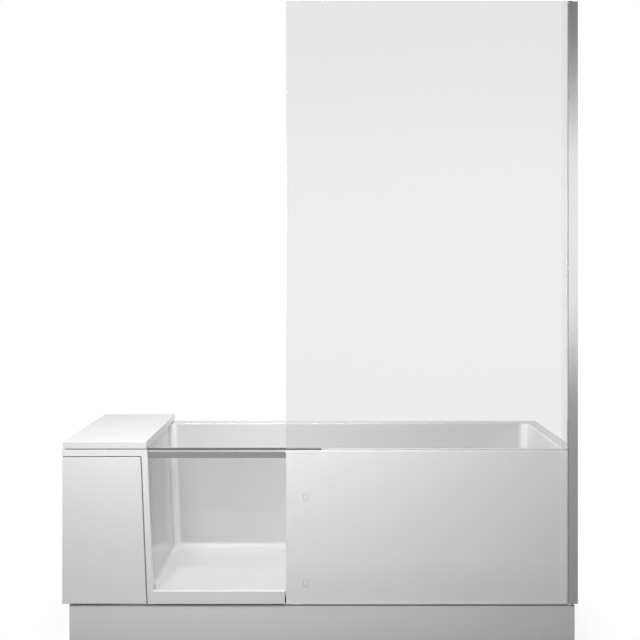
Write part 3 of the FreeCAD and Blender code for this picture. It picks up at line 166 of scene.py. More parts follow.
shadow = put(
    tree, "ShaderNodeMapRange", {0: gap, 1: 0.0, 2: shadow_reach, 3: shadow_share, 4: 0.0},
    interpolation_type="SMOOTHSTEP",
)[0]
rays = put(tree, "ShaderNodeLightPath")
direct = sums(tree, "MAXIMUM", rays["Is Camera Ray"], rays["Is Transmission Ray"])
direct = sums(tree, "MAXIMUM", direct, rays["Is Glossy Ray"])
shade = put(tree, "ShaderNodeBsdfDiffuse", {"Color": paper_colour})[0]
glow = put(tree, "ShaderNodeEmission", {"Color": white, "Strength": 1.0})[0]
bright = put(tree, "ShaderNodeMixShader", {0: shadow, 1: glow, 2: shade})[0]
dim = put(tree, "ShaderNodeBsdfDiffuse", {"Color": dim_colour})[0]
both = put(tree, "ShaderNodeMixShader", {0: direct, 1: dim, 2: bright})[0]
put(tree, "ShaderNodeOutputMaterial", {"Surface": both})
floor_mesh.materials.append(paper)


def lamp(name, place, target, size, power, beam=180.0):
    """A round area lamp at a place, turned so that it points at a target, with a beam in degrees."""
    data = bpy.data.lights.new(name, "AREA")
    data.shape = "DISK"
    data.size = size
    data.energy = power
    data.spread = math.radians(beam)
    made = bpy.data.objects.new(name, data)
    made.location = place
    aim = np.subtract(target, place)
    made.rotation_euler = (
        math.acos(-aim[2] / np.linalg.norm(aim)), 0.0, math.atan2(aim[1], aim[0]) - math.pi / 2.0
    )
    made.visible_camera = False
    made.visible_transmission = False
    scene.collection.objects.link(made)


lamp("Front lamp", (-0.57, -1.65, 1.88), (-0.1, 0.0, 0.4), size=0.74, power=42.5)
lamp("Right lamp", (1.55, -1.65, 1.95), (-0.1, 0.0, 0.4), size=0.7, power=3.4)
lamp("Left lamp", (-8.0, 0.0, 1.6), (0.2, 0.0, 0.5), size=1.8, power=345.0)
lamp("Top lamp", (-0.05, 0.1, 3.0), (-0.05, 0.05, 0.15), size=0.8, power=0.95, beam=36.0)
lamp("End lamp", (1.3, -0.1, 1.6), (-0.5, 0.15, 0.35), size=0.4, power=0.48, beam=40.0)


# Under-frame
# Zinc-plated square steel tubes: two long rails, four crossbars and two corner posts, welded, with
# small brackets that carry the pane's ledge.
def smooth_shading():
    """Geometry nodes: faces shade smooth, and edges that turn by more than 32 degrees stay sharp."""
    sharp_turn = math.radians(32.0)
    group = bpy.data.node_groups.new("Smooth shading", "GeometryNodeTree")
    group.interface.new_socket("Mesh", in_out="INPUT", socket_type="NodeSocketGeometry")
    group.interface.new_socket("Mesh", in_out="OUTPUT", socket_type="NodeSocketGeometry")
    start = put(group, "NodeGroupInput")[0]
    faces = put(group, "GeometryNodeSetShadeSmooth", {"Geometry": start}, domain="FACE")[0]
    angle = put(group, "GeometryNodeInputMeshEdgeAngle")["Unsigned Angle"]
    gentle = put(group, "FunctionNodeCompare", {0: angle, 1: sharp_turn}, operation="LESS_THAN")[0]
    edges = put(
        group, "GeometryNodeSetShadeSmooth", {"Geometry": faces, "Shade Smooth": gentle}, domain="EDGE"
    )[0]
    put(group, "NodeGroupOutput", {0: edges})
    return group


shading = smooth_shading()


def dress(names, finish, edge):
    """Gives CAD nodes a material, joined triangles, edges softened by a width and smooth shading."""
    for name in names:
        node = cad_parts[name]
        for holder in node.material_slots:
            holder.material = finish
        weld = node.modifiers.new("Join", "WELD")
        weld.merge_threshold = 0.00001
        flat = node.modifiers.new("Flat", "DECIMATE")
        flat.decimate_type = "DISSOLVE"
        flat.angle_limit = math.radians(0.3)
        if edge:
            soft = node.modifiers.new("Edge", "BEVEL")
            soft.width = edge
            soft.segments = 3
            soft.limit_method = "ANGLE"
            soft.angle_limit = math.radians(38.0)
        smooth = node.modifiers.new("Shade", "NODES")
        smooth.node_group = shading
        node.modifiers.new("Normals", "WEIGHTED_NORMAL").keep_sharp = True


def cloud_effect():
    """Soft patches: layered noise on Object coordinates, spread between a low and a high value."""
    group = bpy.data.node_groups.new("Patches", "ShaderNodeTree")
    for label, kind, value in (
        ("Size", "NodeSocketFloat", 4.0), ("Detail", "NodeSocketFloat", 3.0),
        ("Low", "NodeSocketFloat", 0.0), ("High", "NodeSocketFloat", 1.0),
        ("Stretch", "NodeSocketVector", (1.0, 1.0, 1.0)),
    ):
        group.interface.new_socket(label, in_out="INPUT", socket_type=kind).default_value = value
    group.interface.new_socket("Value", in_out="OUTPUT", socket_type="NodeSocketFloat")
    start = put(group, "NodeGroupInput")
    place = put(group, "ShaderNodeTexCoord")["Object"]
    stretched = put(
        group, "ShaderNodeVectorMath", {0: place, 1: start["Stretch"]}, operation="MULTIPLY"
    )[0]
    noise = put(group, "ShaderNodeTexNoise", {
        "Vector": stretched, "Scale": start["Size"], "Detail": start["Detail"], "Roughness": 0.55,
    })[0]
    value = put(group, "ShaderNodeMapRange", {
        0: noise, 1: 0.25, 2: 0.75, 3: start["Low"], 4: start["High"],
    }, clamp=False)[0]
    put(group, "NodeGroupOutput", {0: value})
    return group


patches = cloud_effect()


def patch(tree, size, low, high, detail=3.0, stretch=(1.0, 1.0, 1.0)):
    """Places the soft patches in a material with this material's own values."""
    return put(tree, "ShaderNodeGroup", {
        "Size": size, "Detail": detail, "Low": low, "High": high, "Stretch": stretch,
    }, node_tree=patches)[0]


def tint(tree, colour, factor):
    """Multiplies a plain colour by a value that varies over the surface."""
    grey = put(tree, "ShaderNodeCombineColor", {0: factor, 1: factor, 2: factor})[0]
    return put(
        tree, "ShaderNodeMix", {0: 1.0, 6: (*colour, 1.0), 7: grey}, data_type="RGBA",
        blend_type="MULTIPLY",
    )[2]


def bump(tree, height, depth, strength):
    """Turns a height that varies over the surface into a normal; depth is in metres."""
    return put(
        tree, "ShaderNodeBump", {"Height": height, "Distance": depth, "Strength": strength}
    )[0]


def material(name):
    """Starts a material; returns it with its empty node tree."""
    made = bpy.data.materials.new(name)
    made.use_nodes = True
    made.node_tree.nodes.clear()
    return made, made.node_tree


def surface(tree, **inputs):
    """Adds the Principled shader with its inputs and joins it to the output."""
    named = {key.replace("_", " "): value for key, value in inputs.items()}
    shader = put(tree, "ShaderNodeBsdfPrincipled", named)[0]
    put(tree, "ShaderNodeOutputMaterial", {"Surface": shader})


def zinc_plate():
    """Zinc-plated steel: angular crystals in slightly different greys, with a dull shine."""
    made, tree = material("Zinc plate")
    place = put(tree, "ShaderNodeTexCoord")["Object"]
    crystals = put(tree, "ShaderNodeTexVoronoi", {"Vector": place, "Scale": 160.0})
    grey = put(tree, "ShaderNodeSeparateColor", {0: crystals["Color"]})[0]
    spangle = spread(tree, grey, 0.0, 1.0, 0.86, 1.04)
    wear_and_painted_shade = sums(tree, "MULTIPLY", spangle, patch(tree, 14.0, 0.88, 1.0))
    grain = patch(tree, 700.0, 0.0, 1.0)
    surface(
        tree, Base_Color=tint(tree, (0.58, 0.59, 0.60), wear_and_painted_shade), Metallic=0.9,
        Roughness=spread(tree, grey, 0.0, 1.0, 0.36, 0.52), Normal=bump(tree, grain, 0.00004, 0.5),
    )
    return made


zinc = zinc_plate()
dress(["frame_rails", "frame_crossbars", "corner_posts", "ledge_brackets"], zinc, 0.0015)


# Levelling feet
# Moulded nylon pads on threaded steel studs, turned up or down until the bath stands level, each
# locked by a hexagon nut under the rail.
def moulded_nylon(name, colour):
    """Moulded plastic: fine spark-eroded grain, faint flow marks and a soft sheen."""
    made, tree = material(name)
    grain = patch(tree, 1400.0, 0.0, 1.0, 2.0)
    surface(
        tree, Base_Color=tint(tree, colour, patch(tree, 22.0, 0.93, 1.0)),
        Roughness=patch(tree, 60.0, 0.38, 0.52), Normal=bump(tree, grain, 0.00005, 0.6),
    )
    return made


foot_nylon = moulded_nylon("Foot nylon", (0.20, 0.20, 0.21))
dress(["levelling_feet"], foot_nylon, 0.0)


def turned_steel(name):
    """Turned steel: fine tool marks, slight unevenness of tone and a clean grey shine."""
    made, tree = material(name)
    marks = patch(tree, 900.0, 0.0, 1.0, 2.0)
    surface(
        tree, Base_Color=tint(tree, (0.62, 0.62, 0.61), patch(tree, 60.0, 0.92, 1.0)), Metallic=1.0,
        Roughness=patch(tree, 120.0, 0.2, 0.32), Normal=bump(tree, marks, 0.00002, 0.4),
    )
    return made


steel = turned_steel("Turned steel")


def skin(name, grids, finish, body):
    """Makes one piece from grids of points: rows run along a profile, columns close round it.
    Neighbouring points make quads, points that fall together are merged, faces point outwards."""
    sheets, rows, columns, _ = grids.shape
    index = np.arange(sheets * rows * columns).reshape(sheets, rows, columns)
    beside = np.roll(index, -1, axis=2)
    quads = np.stack([index[:, :-1], beside[:, :-1], beside[:, 1:], index[:, 1:]], axis=-1)
    mesh = bpy.data.meshes.new(name)
    mesh.from_pydata(grids.reshape(-1, 3).tolist(), [], quads.reshape(-1, 4).tolist())
    joined = bmesh.new()
    joined.from_mesh(mesh)
    bmesh.ops.remove_doubles(joined, verts=joined.verts, dist=0.0000005)
    bmesh.ops.recalc_face_normals(joined, faces=joined.faces)
    joined.to_mesh(mesh)
    joined.free()
    mesh.shade_smooth()
    mesh.set_sharp_from_angle(angle=math.radians(35.0))
    mesh.materials.append(finish)
    piece = bpy.data.objects.new(name, mesh)
    scene.collection.objects.link(piece)
    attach(piece, body)


def around(radius, height, angle, axis):
    """Points at a radius and an angle round an axis, at a height along it: x = r cos a, y = r sin a,
    z = h, then the three are passed round so that z falls on the axis named."""
    shape = np.broadcast_shapes(np.shape(radius), np.shape(height), np.shape(angle))
    flat = [np.broadcast_to(v, shape) for v in (radius * np.cos(angle), radius * np.sin(angle), height)]
    order = {"Z": (0, 1, 2), "Y": (1, 2, 0)}[axis]
    return np.stack([flat[k] for k in order], axis=-1)


pad_radius, pad_height, stud_radius = 0.030, 0.014, 0.006
nut_flat, nut_height, nut_play = 0.0095, 0.0105, 0.0003
pad_gap, rail_gap = 0.0004, 0.0002
feet_low, feet_high = (np.array(c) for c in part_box("levelling_feet"))
foot_x = np.linspace(feet_low[0] + pad_radius, feet_high[0] - pad_radius, 3)
foot_y = np.array([feet_low[1] + pad_radius, feet_high[1] - pad_radius])
foot_places = np.array([(x, y, 0.0) for x in foot_x for y in foot_y])[:, None, None, :]
rail_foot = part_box("frame_rails")[0][2]


def stud_thread(low, high):
    """A screw thread: the radius rises and falls in a triangle wave of height less one pitch a turn."""
    pitch, crest, play = 0.002, 0.0005, 0.00005
    columns, pitch_rows = 18, 4
    angle = np.linspace(0.0, 2.0 * np.pi, columns, endpoint=False)[None, :]
    height = np.linspace(low, high, int((high - low) / pitch * pitch_rows) + 1)[:, None]
    phase = height / pitch - angle / (2.0 * np.pi)
    wave = np.abs(2.0 * (phase - np.floor(phase)) - 1.0)
    return around(stud_radius + play + crest * wave, height, angle, "Z")


def hexagon_nut(flat, bore, low, high):
    """A hexagon nut: the radius is half the width across flats over the cosine of the angle to the
    nearest flat, cut back by a cone at both ends."""
    columns, cone_reach, cone_slope = 72, 1.02, 0.45
    angle = np.linspace(0.0, 2.0 * np.pi, columns, endpoint=False)
    side = flat / np.cos((angle + np.pi / 6.0) % (np.pi / 3.0) - np.pi / 6.0)
    cone = np.minimum(side, flat * cone_reach)
    edge = (side - cone) * cone_slope
    hole = np.full_like(angle, bore)
    foot, top = np.full_like(angle, low), np.full_like(angle, high)
    radius = np.stack([hole, cone, side, side, cone, hole, hole])
    height = np.stack([foot, foot, foot + edge, top - edge, top, top, foot])
    return around(radius, height, angle[None, :], "Z")


thread = stud_thread(pad_height + pad_gap, rail_foot - rail_gap)
skin("stud_threads", foot_places + thread[None], steel, "bath")
nut = hexagon_nut(nut_flat, stud_radius + nut_play, rail_foot - nut_height, rail_foot - nut_play)
skin("stud_nuts", foot_places + nut[None], steel, "bath")


# Base board
# A sealed chipboard panel glued under the bath's floor, which spreads the load to the frame.
def chipboard():
    """Pressed wood: small flakes in several browns under a thin clear sealer."""
    made, tree = material("Base board")
    place = put(tree, "ShaderNodeTexCoord")["Object"]
    flakes = put(tree, "ShaderNodeTexVoronoi", {"Vector": place, "Scale": 190.0, "Randomness": 1.0})
    tone = put(tree, "ShaderNodeSeparateColor", {0: flakes["Color"]})[0]
    shade = spread(tree, tone, 0.0, 1.0, 0.72, 1.1)
    mixed = sums(tree, "MULTIPLY", shade, patch(tree, 9.0, 0.85, 1.05))
    surface(
        tree, Base_Color=tint(tree, (0.60, 0.47, 0.32), mixed), Roughness=patch(tree, 80.0, 0.5, 0.7),
        Normal=bump(tree, tone, 0.0002, 0.4),
    )
    return made


dress(["base_board"], chipboard(), 0.001)


# Bath shell and end frame
# Sheet acrylic drawn over a mould, backed with sprayed glass fibre on the hidden side. The end
# frame is a second moulding: the deck under the lid and the strip round the doorway.
def bath_sheet(tree, plain, tone, rough, normal):
    """The bath's own sheet: painted shade that greys it towards the lid end, a paler colour painted on
    the floor and the rounds as painted light, duller on the floor, and rough with glass fibre where it
    faces out, below the lip and behind the front wall. The rounds are where the normal's x is neither
    small nor large: x squared times its rest to 1."""
    lid_end, middle, lid_end_tone, middle_tone = -0.55, -0.12, 0.85, 0.985
    round_start, round_full = 0.06, 0.2
    floor_start, floor_full, floor_rough = 0.185, 0.165, 0.45
    basin_middle, lip_foot, front_wall = (0.1, 0.0, 0.45), 0.616, -0.345
    fibre_depth, fibre_strength, fibre_rough = 0.0008, 0.8, 0.55
    painted_light_white, backing = (0.92, 0.92, 0.915), (0.70, 0.70, 0.66)

    geometry = put(tree, "ShaderNodeNewGeometry")
    axes = put(tree, "ShaderNodeSeparateXYZ", {0: geometry["Position"]})
    # Painted shade: the walls' colour greys towards the lid end.
    painted_lid_end_shade = spread(tree, axes["X"], lid_end, middle, lid_end_tone, middle_tone)
    colour = tint(tree, plain, sums(tree, "MULTIPLY", tone, painted_lid_end_shade))

    # Painted light: the rounds between the end walls and the rest, and the floor below a level, take a
    # paler colour.
    along = put(tree, "ShaderNodeSeparateXYZ", {0: geometry["Normal"]})["X"]
    square = sums(tree, "MULTIPLY", along, along)
    turned = sums(tree, "MULTIPLY", square, sums(tree, "SUBTRACT", 1.0, square))
    painted_round_light = spread(tree, turned, round_start, round_full)
    low = spread(tree, axes["Z"], floor_start, floor_full)
    colour = blend(tree, sums(tree, "MAXIMUM", low, painted_round_light), colour, tint(tree, painted_light_white, tone))
    rough = put(tree, "ShaderNodeMix", {0: low, 2: rough, 3: floor_rough}, data_type="FLOAT")[0]

    out = put(
        tree, "ShaderNodeVectorMath", {0: geometry["Position"], 1: basin_middle}, operation="SUBTRACT"
    )[0]
    facing = put(
        tree, "ShaderNodeVectorMath", {0: out, 1: geometry["Normal"]}, operation="DOT_PRODUCT"
    )[1]
    outside = sums(tree, "GREATER_THAN", facing, 0.0)
    below = sums(tree, "LESS_THAN", axes["Z"], lip_foot)
    behind = sums(tree, "GREATER_THAN", axes["Y"], front_wall)
    hidden = sums(tree, "MULTIPLY", sums(tree, "MULTIPLY", outside, below), behind)
    fibre = patch(tree, 120.0, 0.0, 1.0, 6.0, (1.0, 1.0, 0.35))
    colour = blend(tree, hidden, colour, tint(tree, backing, patch(tree, 35.0, 0.82, 1.05, 6.0)))
    rough = put(tree, "ShaderNodeMix", {0: hidden, 2: rough, 3: fibre_rough}, data_type="FLOAT")[0]
    ridges = sums(tree, "MULTIPLY", fibre, hidden)
    normal = put(tree, "ShaderNodeBump", {
        "Height": ridges, "Distance": fibre_depth, "Strength": fibre_strength, "Normal": normal,
    })[0]
    return colour, rough, normal


def acrylic(name, level, backed):
    """Cast acrylic: deep gloss, a faint orange-peel ripple and slight unevenness of the white."""
    made, tree = material(name)
    plain = (level, level, level * 0.995)
    tone = patch(tree, 2.5, 0.985, 1.0, 1.0)
    rough = patch(tree, 60.0, 0.02, 0.05, 6.0)
    ripple = patch(tree, 260.0, 0.0, 1.0, 2.0)
    normal = bump(tree, ripple, 0.00003, 0.5)
    if backed:
        colour, rough, normal = bath_sheet(tree, plain, tone, rough, normal)
    else:
        colour = tint(tree, plain, tone)
    surface(tree, Base_Color=colour, Roughness=rough, Normal=normal)
    return made


# Painted shade: the same white acrylic is set greyer on the bath (0.76) than on the end frame (0.85).
bath_acrylic = acrylic("Bath acrylic", 0.76, True)
dress(["tub_shell"], bath_acrylic, 0.0012)
frame_acrylic = acrylic("Frame acrylic", 0.85, False)
dress(["end_frame"], frame_acrylic, 0.0015)


# Waste and overflow
# A chromed flange and plug in the floor, a turning chromed handle on the rear wall that lifts the
# plug by a cable, and grey moulded pipework with a trap and hand-tight nuts under the bath.
def plated(name, colour, low, high, streak):
    """Bright plating: a mirror with a trace of polishing streaks along the piece."""
    made, tree = material(name)
    lines = patch(tree, 90.0, 0.0, 1.0, 4.0, streak)
    surface(
        tree, Base_Color=tint(tree, colour, patch(tree, 6.0, 0.97, 1.0)), Metallic=1.0,
        Roughness=patch(tree, 40.0, low, high, 4.0, streak), Normal=bump(tree, lines, 0.00001, 0.3),
    )
    return made


fitting_chrome = plated("Fitting chrome", (0.80, 0.80, 0.81), 0.05, 0.10, (1.0, 1.0, 1.0))
dress(["waste_flange", "plug", "overflow_knob"], fitting_chrome, 0.0008)
pipe_grey = moulded_nylon("Pipe plastic", (0.62, 0.63, 0.64))
coupling_nylon = moulded_nylon("Coupling nylon", (0.34, 0.35, 0.36))
dress(["trap", "overflow_body", "overflow_pipe"], pipe_grey, 0.0)


def ribbed_nut(bore, outer, start, end, axis):
    """A hand-tight coupling nut: the radius swells in rounded ribs round the axis, and slopes off
    at both ends."""
    ribs, rib, rib_columns, chamfer = 12, 0.0012, 8, 0.0015
    angle = np.linspace(0.0, 2.0 * np.pi, ribs * rib_columns, endpoint=False)
    swell = outer + rib * np.cos(ribs * angle) ** 8
    hole, shoulder = np.full_like(angle, bore), np.full_like(angle, outer - chamfer)
    slope = chamfer * np.sign(end - start)
    radius = np.stack([hole, shoulder, swell, swell, shoulder, hole, hole])
    height = np.array([start, start, start + slope, end - slope, end, end, start])[:, None]
    return around(radius, height, angle[None, :], axis)


pipe_low, pipe_high = (np.array(c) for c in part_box("overflow_pipe"))
pipe_radius = 0.016
pipe_x = (pipe_low[0] + pipe_high[0]) / 2.0
pipe_y, pipe_z = pipe_high[1] - pipe_radius, pipe_low[2] + pipe_radius
socket_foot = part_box("overflow_body")[0][2]
boss_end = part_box("trap")[1][1]
trap_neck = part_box("waste_flange")[0][2]
pipe_bore, pipe_outer, pipe_length, pipe_play = 0.0161, 0.0225, 0.016, 0.0002
neck_bore, neck_outer, neck_length, neck_play = 0.0251, 0.0320, 0.018, 0.0004
socket_nut = ribbed_nut(pipe_bore, pipe_outer, socket_foot - pipe_length, socket_foot - pipe_play, "Z")
boss_nut = ribbed_nut(pipe_bore, pipe_outer, boss_end + pipe_play, boss_end + pipe_length, "Y")
neck_nut = ribbed_nut(neck_bore, neck_outer, trap_neck + neck_play, trap_neck + neck_length, "Z")
coupling_nuts = np.stack([
    np.array((pipe_x, pipe_y, 0.0)) + socket_nut,
    np.array((pipe_x, 0.0, pipe_z)) + boss_nut,
    np.array((pipe_x, 0.0, 0.0)) + neck_nut,
])
skin("coupling_nuts", coupling_nuts, coupling_nylon, "bath")


def soft_rubber(name, colour):
    """Moulded rubber: matt, with a fine grain and paler handling marks."""
    made, tree = material(name)
    grain = patch(tree, 1100.0, 0.0, 1.0, 2.0)
    surface(
        tree, Base_Color=tint(tree, colour, patch(tree, 30.0, 0.85, 1.1)),
        Roughness=patch(tree, 45.0, 0.62, 0.8), Normal=bump(tree, grain, 0.00006, 0.6),
    )
    return made


dress(["waste_washer"], soft_rubber("Washer rubber", (0.05, 0.05, 0.05)), 0.0005)


# Cladding and plinth
# White lacquered boards that clip to the frame: the access panel before the lid end, the end panel, and
# the set-back plinth with its return along the end. A rubber joint frames the access panel, dark grey as
# painted shade for the gap round the panel.
def lacquer(name, colour, foot=0.0, unshaded_level=0.1, foot_shade_tone=1.0):
    """Sprayed lacquer: satin, with a fine stipple and a slight cloudiness, and with painted shade that
    greys it a little from a given level down to the board's foot."""
    made, tree = material(name)
    stipple = patch(tree, 420.0, 0.0, 1.0, 2.0)
    place = put(tree, "ShaderNodeTexCoord")["Object"]
    level = put(tree, "ShaderNodeSeparateXYZ", {0: place})["Z"]
    # Painted shade: the colour greys from the unshaded level down to the foot.
    wear_and_painted_shade = spread(tree, level, foot, unshaded_level, foot_shade_tone, 1.0)
    tone = sums(tree, "MULTIPLY", patch(tree, 60.0, 0.994, 1.003, 8.0), wear_and_painted_shade)
    surface(
        tree, Base_Color=tint(tree, colour, tone),
        Roughness=patch(tree, 90.0, 0.28, 0.32, 8.0), Normal=bump(tree, stipple, 0.00003, 0.4),
    )
    return made


cladding = lacquer("Cladding lacquer", (0.83, 0.83, 0.83))
dress(["access_panel", "end_panel"], cladding, 0.0015)
# Painted shade: the plinth's lacquer is set greyer than the cladding's, and greys further towards the
# floor.
plinth_lacquer = lacquer("Plinth lacquer", (0.755, 0.755, 0.755), foot=0.0, unshaded_level=0.1, foot_shade_tone=0.86)
dress(["plinth_front", "plinth_end"], plinth_lacquer, 0.001)
clip_nylon = moulded_nylon("Clip nylon", (0.55, 0.55, 0.56))
dress(["panel_clips", "plinth_clips"], clip_nylon, 0.0005)


def bar(stations):
    """A bar through stations of four corners each: the corners are joined along the bar, and a row
    shrunk to the first and to the last station's middle closes its ends."""
    ends = np.repeat(stations[[0, -1]].mean(axis=1, keepdims=True), 4, axis=1)
    return np.concatenate([ends[:1], stations, ends[1:]])


panel_low, panel_high = (np.array(c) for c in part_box("access_panel"))
end_high = np.array(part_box("end_panel")[1])
joint, joint_play, lean = 0.004, 0.0001, 0.0415
outer_depth, inner_depth = 0.0022, 0.0075
foot_play, rear_play = 0.0005, 0.001
left, front = panel_low[0], panel_low[1]
foot, top = panel_low[2] + foot_play, panel_high[2]
low_right = panel_high[0]
top_right = low_right - lean * (top - panel_low[2])
rear = end_high[1] - rear_play
joint_sides = (
    (joint_play, outer_depth), (joint_play, inner_depth),
    (joint - joint_play, inner_depth), (joint - joint_play, outer_depth),
)
panel_gasket = bar(np.array([
    [(left + depth, rear, top + rise) for rise, depth in joint_sides],
    [(left + depth, front + depth, top + rise) for rise, depth in joint_sides],
    [(top_right + rise, front + depth, top + rise) for rise, depth in joint_sides],
    [(low_right + rise, front + depth, foot) for rise, depth in joint_sides],
]))
# Painted shade: the joint is dark grey to stand for the shade in the gap round the access panel.
joint_rubber = soft_rubber("Joint rubber", (0.20, 0.20, 0.20))
skin("panel_gasket", panel_gasket[None], joint_rubber, "bath")


# Front panel
# A thin white sheet that stands behind the lower half of the screen and hides the bath's front wall,
# with two flush covers over the hinges' fixings and a bead of silicone between its top and the rim.
# Painted light and shade: the panel's lacquer is set whiter than the cladding's, and greys towards its
# foot.
panel_lacquer = lacquer("Panel lacquer", (0.95, 0.95, 0.95), foot=0.131, unshaded_level=0.28, foot_shade_tone=0.89)
dress(["front_panel"], panel_lacquer, 0.0006)

sheet_low, sheet_high = (np.array(c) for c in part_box("front_panel"))
cap_play = 0.002
cap_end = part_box("door_cap")[1][0] + cap_play
bead_reach, bead_rise, low_rise, bead_inset, sheet_play = 0.0006, 0.0035, 0.0026, 0.001, 0.0002
bead_stations = (
    (sheet_low[0] + bead_inset, low_rise), (cap_end - bead_inset, low_rise),
    (cap_end, bead_rise), (sheet_high[0] - bead_inset, bead_rise),
)
bead_sides = (
    (sheet_low[1] + sheet_play, 0.0), (sheet_high[1] + bead_reach, 0.0),
    (sheet_high[1] + bead_reach, 1.0), (sheet_high[1] - bead_reach, 1.0),
)
panel_bead = bar(np.array([
    [(x, y, sheet_high[2] + share * rise) for y, share in bead_sides] for x, rise in bead_stations
]))
bead_silicone = soft_rubber("Bead silicone", (0.64, 0.64, 0.64))
skin("panel_bead", panel_bead[None], bead_silicone, "bath")


def rounded_rings(width, height, rings):
    """Rings with rounded corners, one inside the next, given as pairs of inset and rise: each is a
    superellipse with the sides (w/2 - inset)|cos|^(2/p) and (h/2 - inset)|sin|^(2/p), never less
    than nothing, at its own rise."""
    power, columns = 9.0, 96
    angle = np.linspace(0.0, 2.0 * np.pi, columns, endpoint=False)
    cos, sin = np.cos(angle), np.sin(angle)
    inset, rise = np.array(rings).T[:, :, None]
    x = np.maximum(width / 2.0 - inset, 0.0) * np.sign(cos) * np.abs(cos) ** (2.0 / power)
    z = np.maximum(height / 2.0 - inset, 0.0) * np.sign(sin) * np.abs(sin) ** (2.0 / power)
    y = np.broadcast_to(-rise, x.shape)
    return np.stack([x, y, z], axis=-1)


panel_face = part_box("front_panel")[0][1]
cover_x, cover_levels = -0.047, (0.480, 0.196)
cover_width, cover_height, gap_shade_width, gap_shade_height = 0.0165, 0.0225, 0.0175, 0.0235
to_middle = 1.0
cover_rings = ((to_middle, 0.0002), (0.0011, 0.0002), (0.0008, 0.0001), (0.0008, 0.0))
gap_shade_rings = ((0.0, 0.0), (0.0002, 0.0001), (0.0011, 0.0001), (0.0013, 0.0), (0.0, 0.0))
cover_places = np.array([(cover_x, panel_face, level) for level in cover_levels])[:, None, None, :]
cover_face = rounded_rings(cover_width, cover_height, cover_rings)
skin("hinge_covers", cover_places + cover_face[None], panel_lacquer, "bath")
# Painted shade: a grey ring round each cover stands for the shade in the cover's joint.
gap_shade_grey = moulded_nylon("Cover gap shade", (0.56, 0.56, 0.57))
gap_shade_ring = rounded_rings(gap_shade_width, gap_shade_height, gap_shade_rings)
skin("cover_gap_shades", cover_places + gap_shade_ring[None], gap_shade_grey, "bath")


# Wall profile
# An extruded aluminium channel, bright chromed, screwed to the side wall. It holds the pane between
# two clear gaskets, and a strip and a cap close its screw chamber.
profile_chrome = plated("Profile chrome", (0.80, 0.80, 0.81), 0.06, 0.11, (1.0, 1.0, 0.02))
dress(["wall_profile", "profile_cover", "profile_cap"], profile_chrome, 0.0006)


def clear_vinyl():
    """Clear flexible vinyl: a thin milky veil with a soft sheen, uneven along its length."""
    made, tree = material("Clear vinyl")
    surface(
        tree, Base_Color=tint(tree, (0.88, 0.89, 0.89), patch(tree, 3.0, 0.97, 1.0, 1.0)),
        Roughness=patch(tree, 6.0, 0.22, 0.32, 1.0), IOR=1.45, Alpha=0.1,
    )
    return made


vinyl = clear_vinyl()
dress(["profile_gaskets", "screen_strip", "door_seal"], vinyl, 0.0004)


# Screen and door glass
# Toughened clear glass, 8 mm thick on the screen, with ground and polished edges. The tall pane stands
# on a grey ledge before the front panel; the door's pane closes the doorway from inside.
def toughened(name, low, high):
    """Clear glass: refracts, lets the lamps' light through, and has painted shade: a little darker above
    the rim, and darker towards its top.
    """
    rim_foot, rim_top = 0.634, 0.642
    fade_start, screen_top, fade = 0.64, 2.12, 0.025
    made, tree = material(name)
    place = put(tree, "ShaderNodeTexCoord")["Object"]
    level = put(tree, "ShaderNodeSeparateXYZ", {0: place})["Z"]
    # Painted shade: the glass's colour darkens above the rim, and more towards the top.
    upper = spread(tree, level, fade_start, screen_top, high + fade, high - fade)
    above = spread(tree, level, rim_foot, rim_top, low, upper)
    painted_shade_and_haze = sums(tree, "MULTIPLY", above, patch(tree, 1.5, 0.99, 1.0, 1.0))
    shader = put(tree, "ShaderNodeBsdfPrincipled", {
        "Base Color": tint(tree, (0.995, 1.0, 1.0), painted_shade_and_haze),
        "Roughness": patch(tree, 5.0, 0.0, 0.006, 1.0), "IOR": 1.5, "Transmission Weight": 1.0,
    })[0]
    clear = put(tree, "ShaderNodeBsdfTransparent", {"Color": (0.97, 0.97, 0.97, 1.0)})[0]
    rays = put(tree, "ShaderNodeLightPath")
    through = sums(tree, "MAXIMUM", rays["Is Shadow Ray"], rays["Is Diffuse Ray"])
    both = put(tree, "ShaderNodeMixShader", {0: through, 1: shader, 2: clear})[0]
    put(tree, "ShaderNodeOutputMaterial", {"Surface": both})
    return made


dress(["pane_ledge"], lacquer("Ledge lacquer", (0.50, 0.50, 0.50)), 0.0005)
screen_clear = toughened("Screen glass", 1.0, 0.85)
dress(["screen_glass"], screen_clear, 0.0012)
# Painted shade: the door's pane is set darker than the screen's.
door_clear = toughened("Door glass", 0.76, 0.76)
dress(["door_glass"], door_clear, 0.0012)


# Door frame
# A satin anodised rail along the door's top edge with a darker cap strip, and a stile down its hinge
# side, pushed over the glass and bonded to it.
def anodised(name, colour, streak):
    """Brushed and anodised aluminium: fine lines along the piece and a soft satin shine."""
    made, tree = material(name)
    lines = patch(tree, 60.0, 0.0, 1.0, 5.0, streak)
    surface(
        tree, Base_Color=tint(tree, colour, patch(tree, 30.0, 0.9, 1.02, 4.0, streak)), Metallic=1.0,
        Roughness=patch(tree, 50.0, 0.18, 0.26, 4.0, streak), Normal=bump(tree, lines, 0.000008, 0.4),
    )
    return made


level_streak, upright_streak = (0.03, 20.0, 20.0), (20.0, 20.0, 0.03)
dress(["door_top_rail"], anodised("Rail aluminium", (0.66, 0.66, 0.67), level_streak), 0.0)
dress(["door_cap"], anodised("Cap aluminium", (0.38, 0.38, 0.39), level_streak), 0.0)
dress(["door_stile"], anodised("Stile aluminium", (0.62, 0.62, 0.63), upright_streak), 0.001)


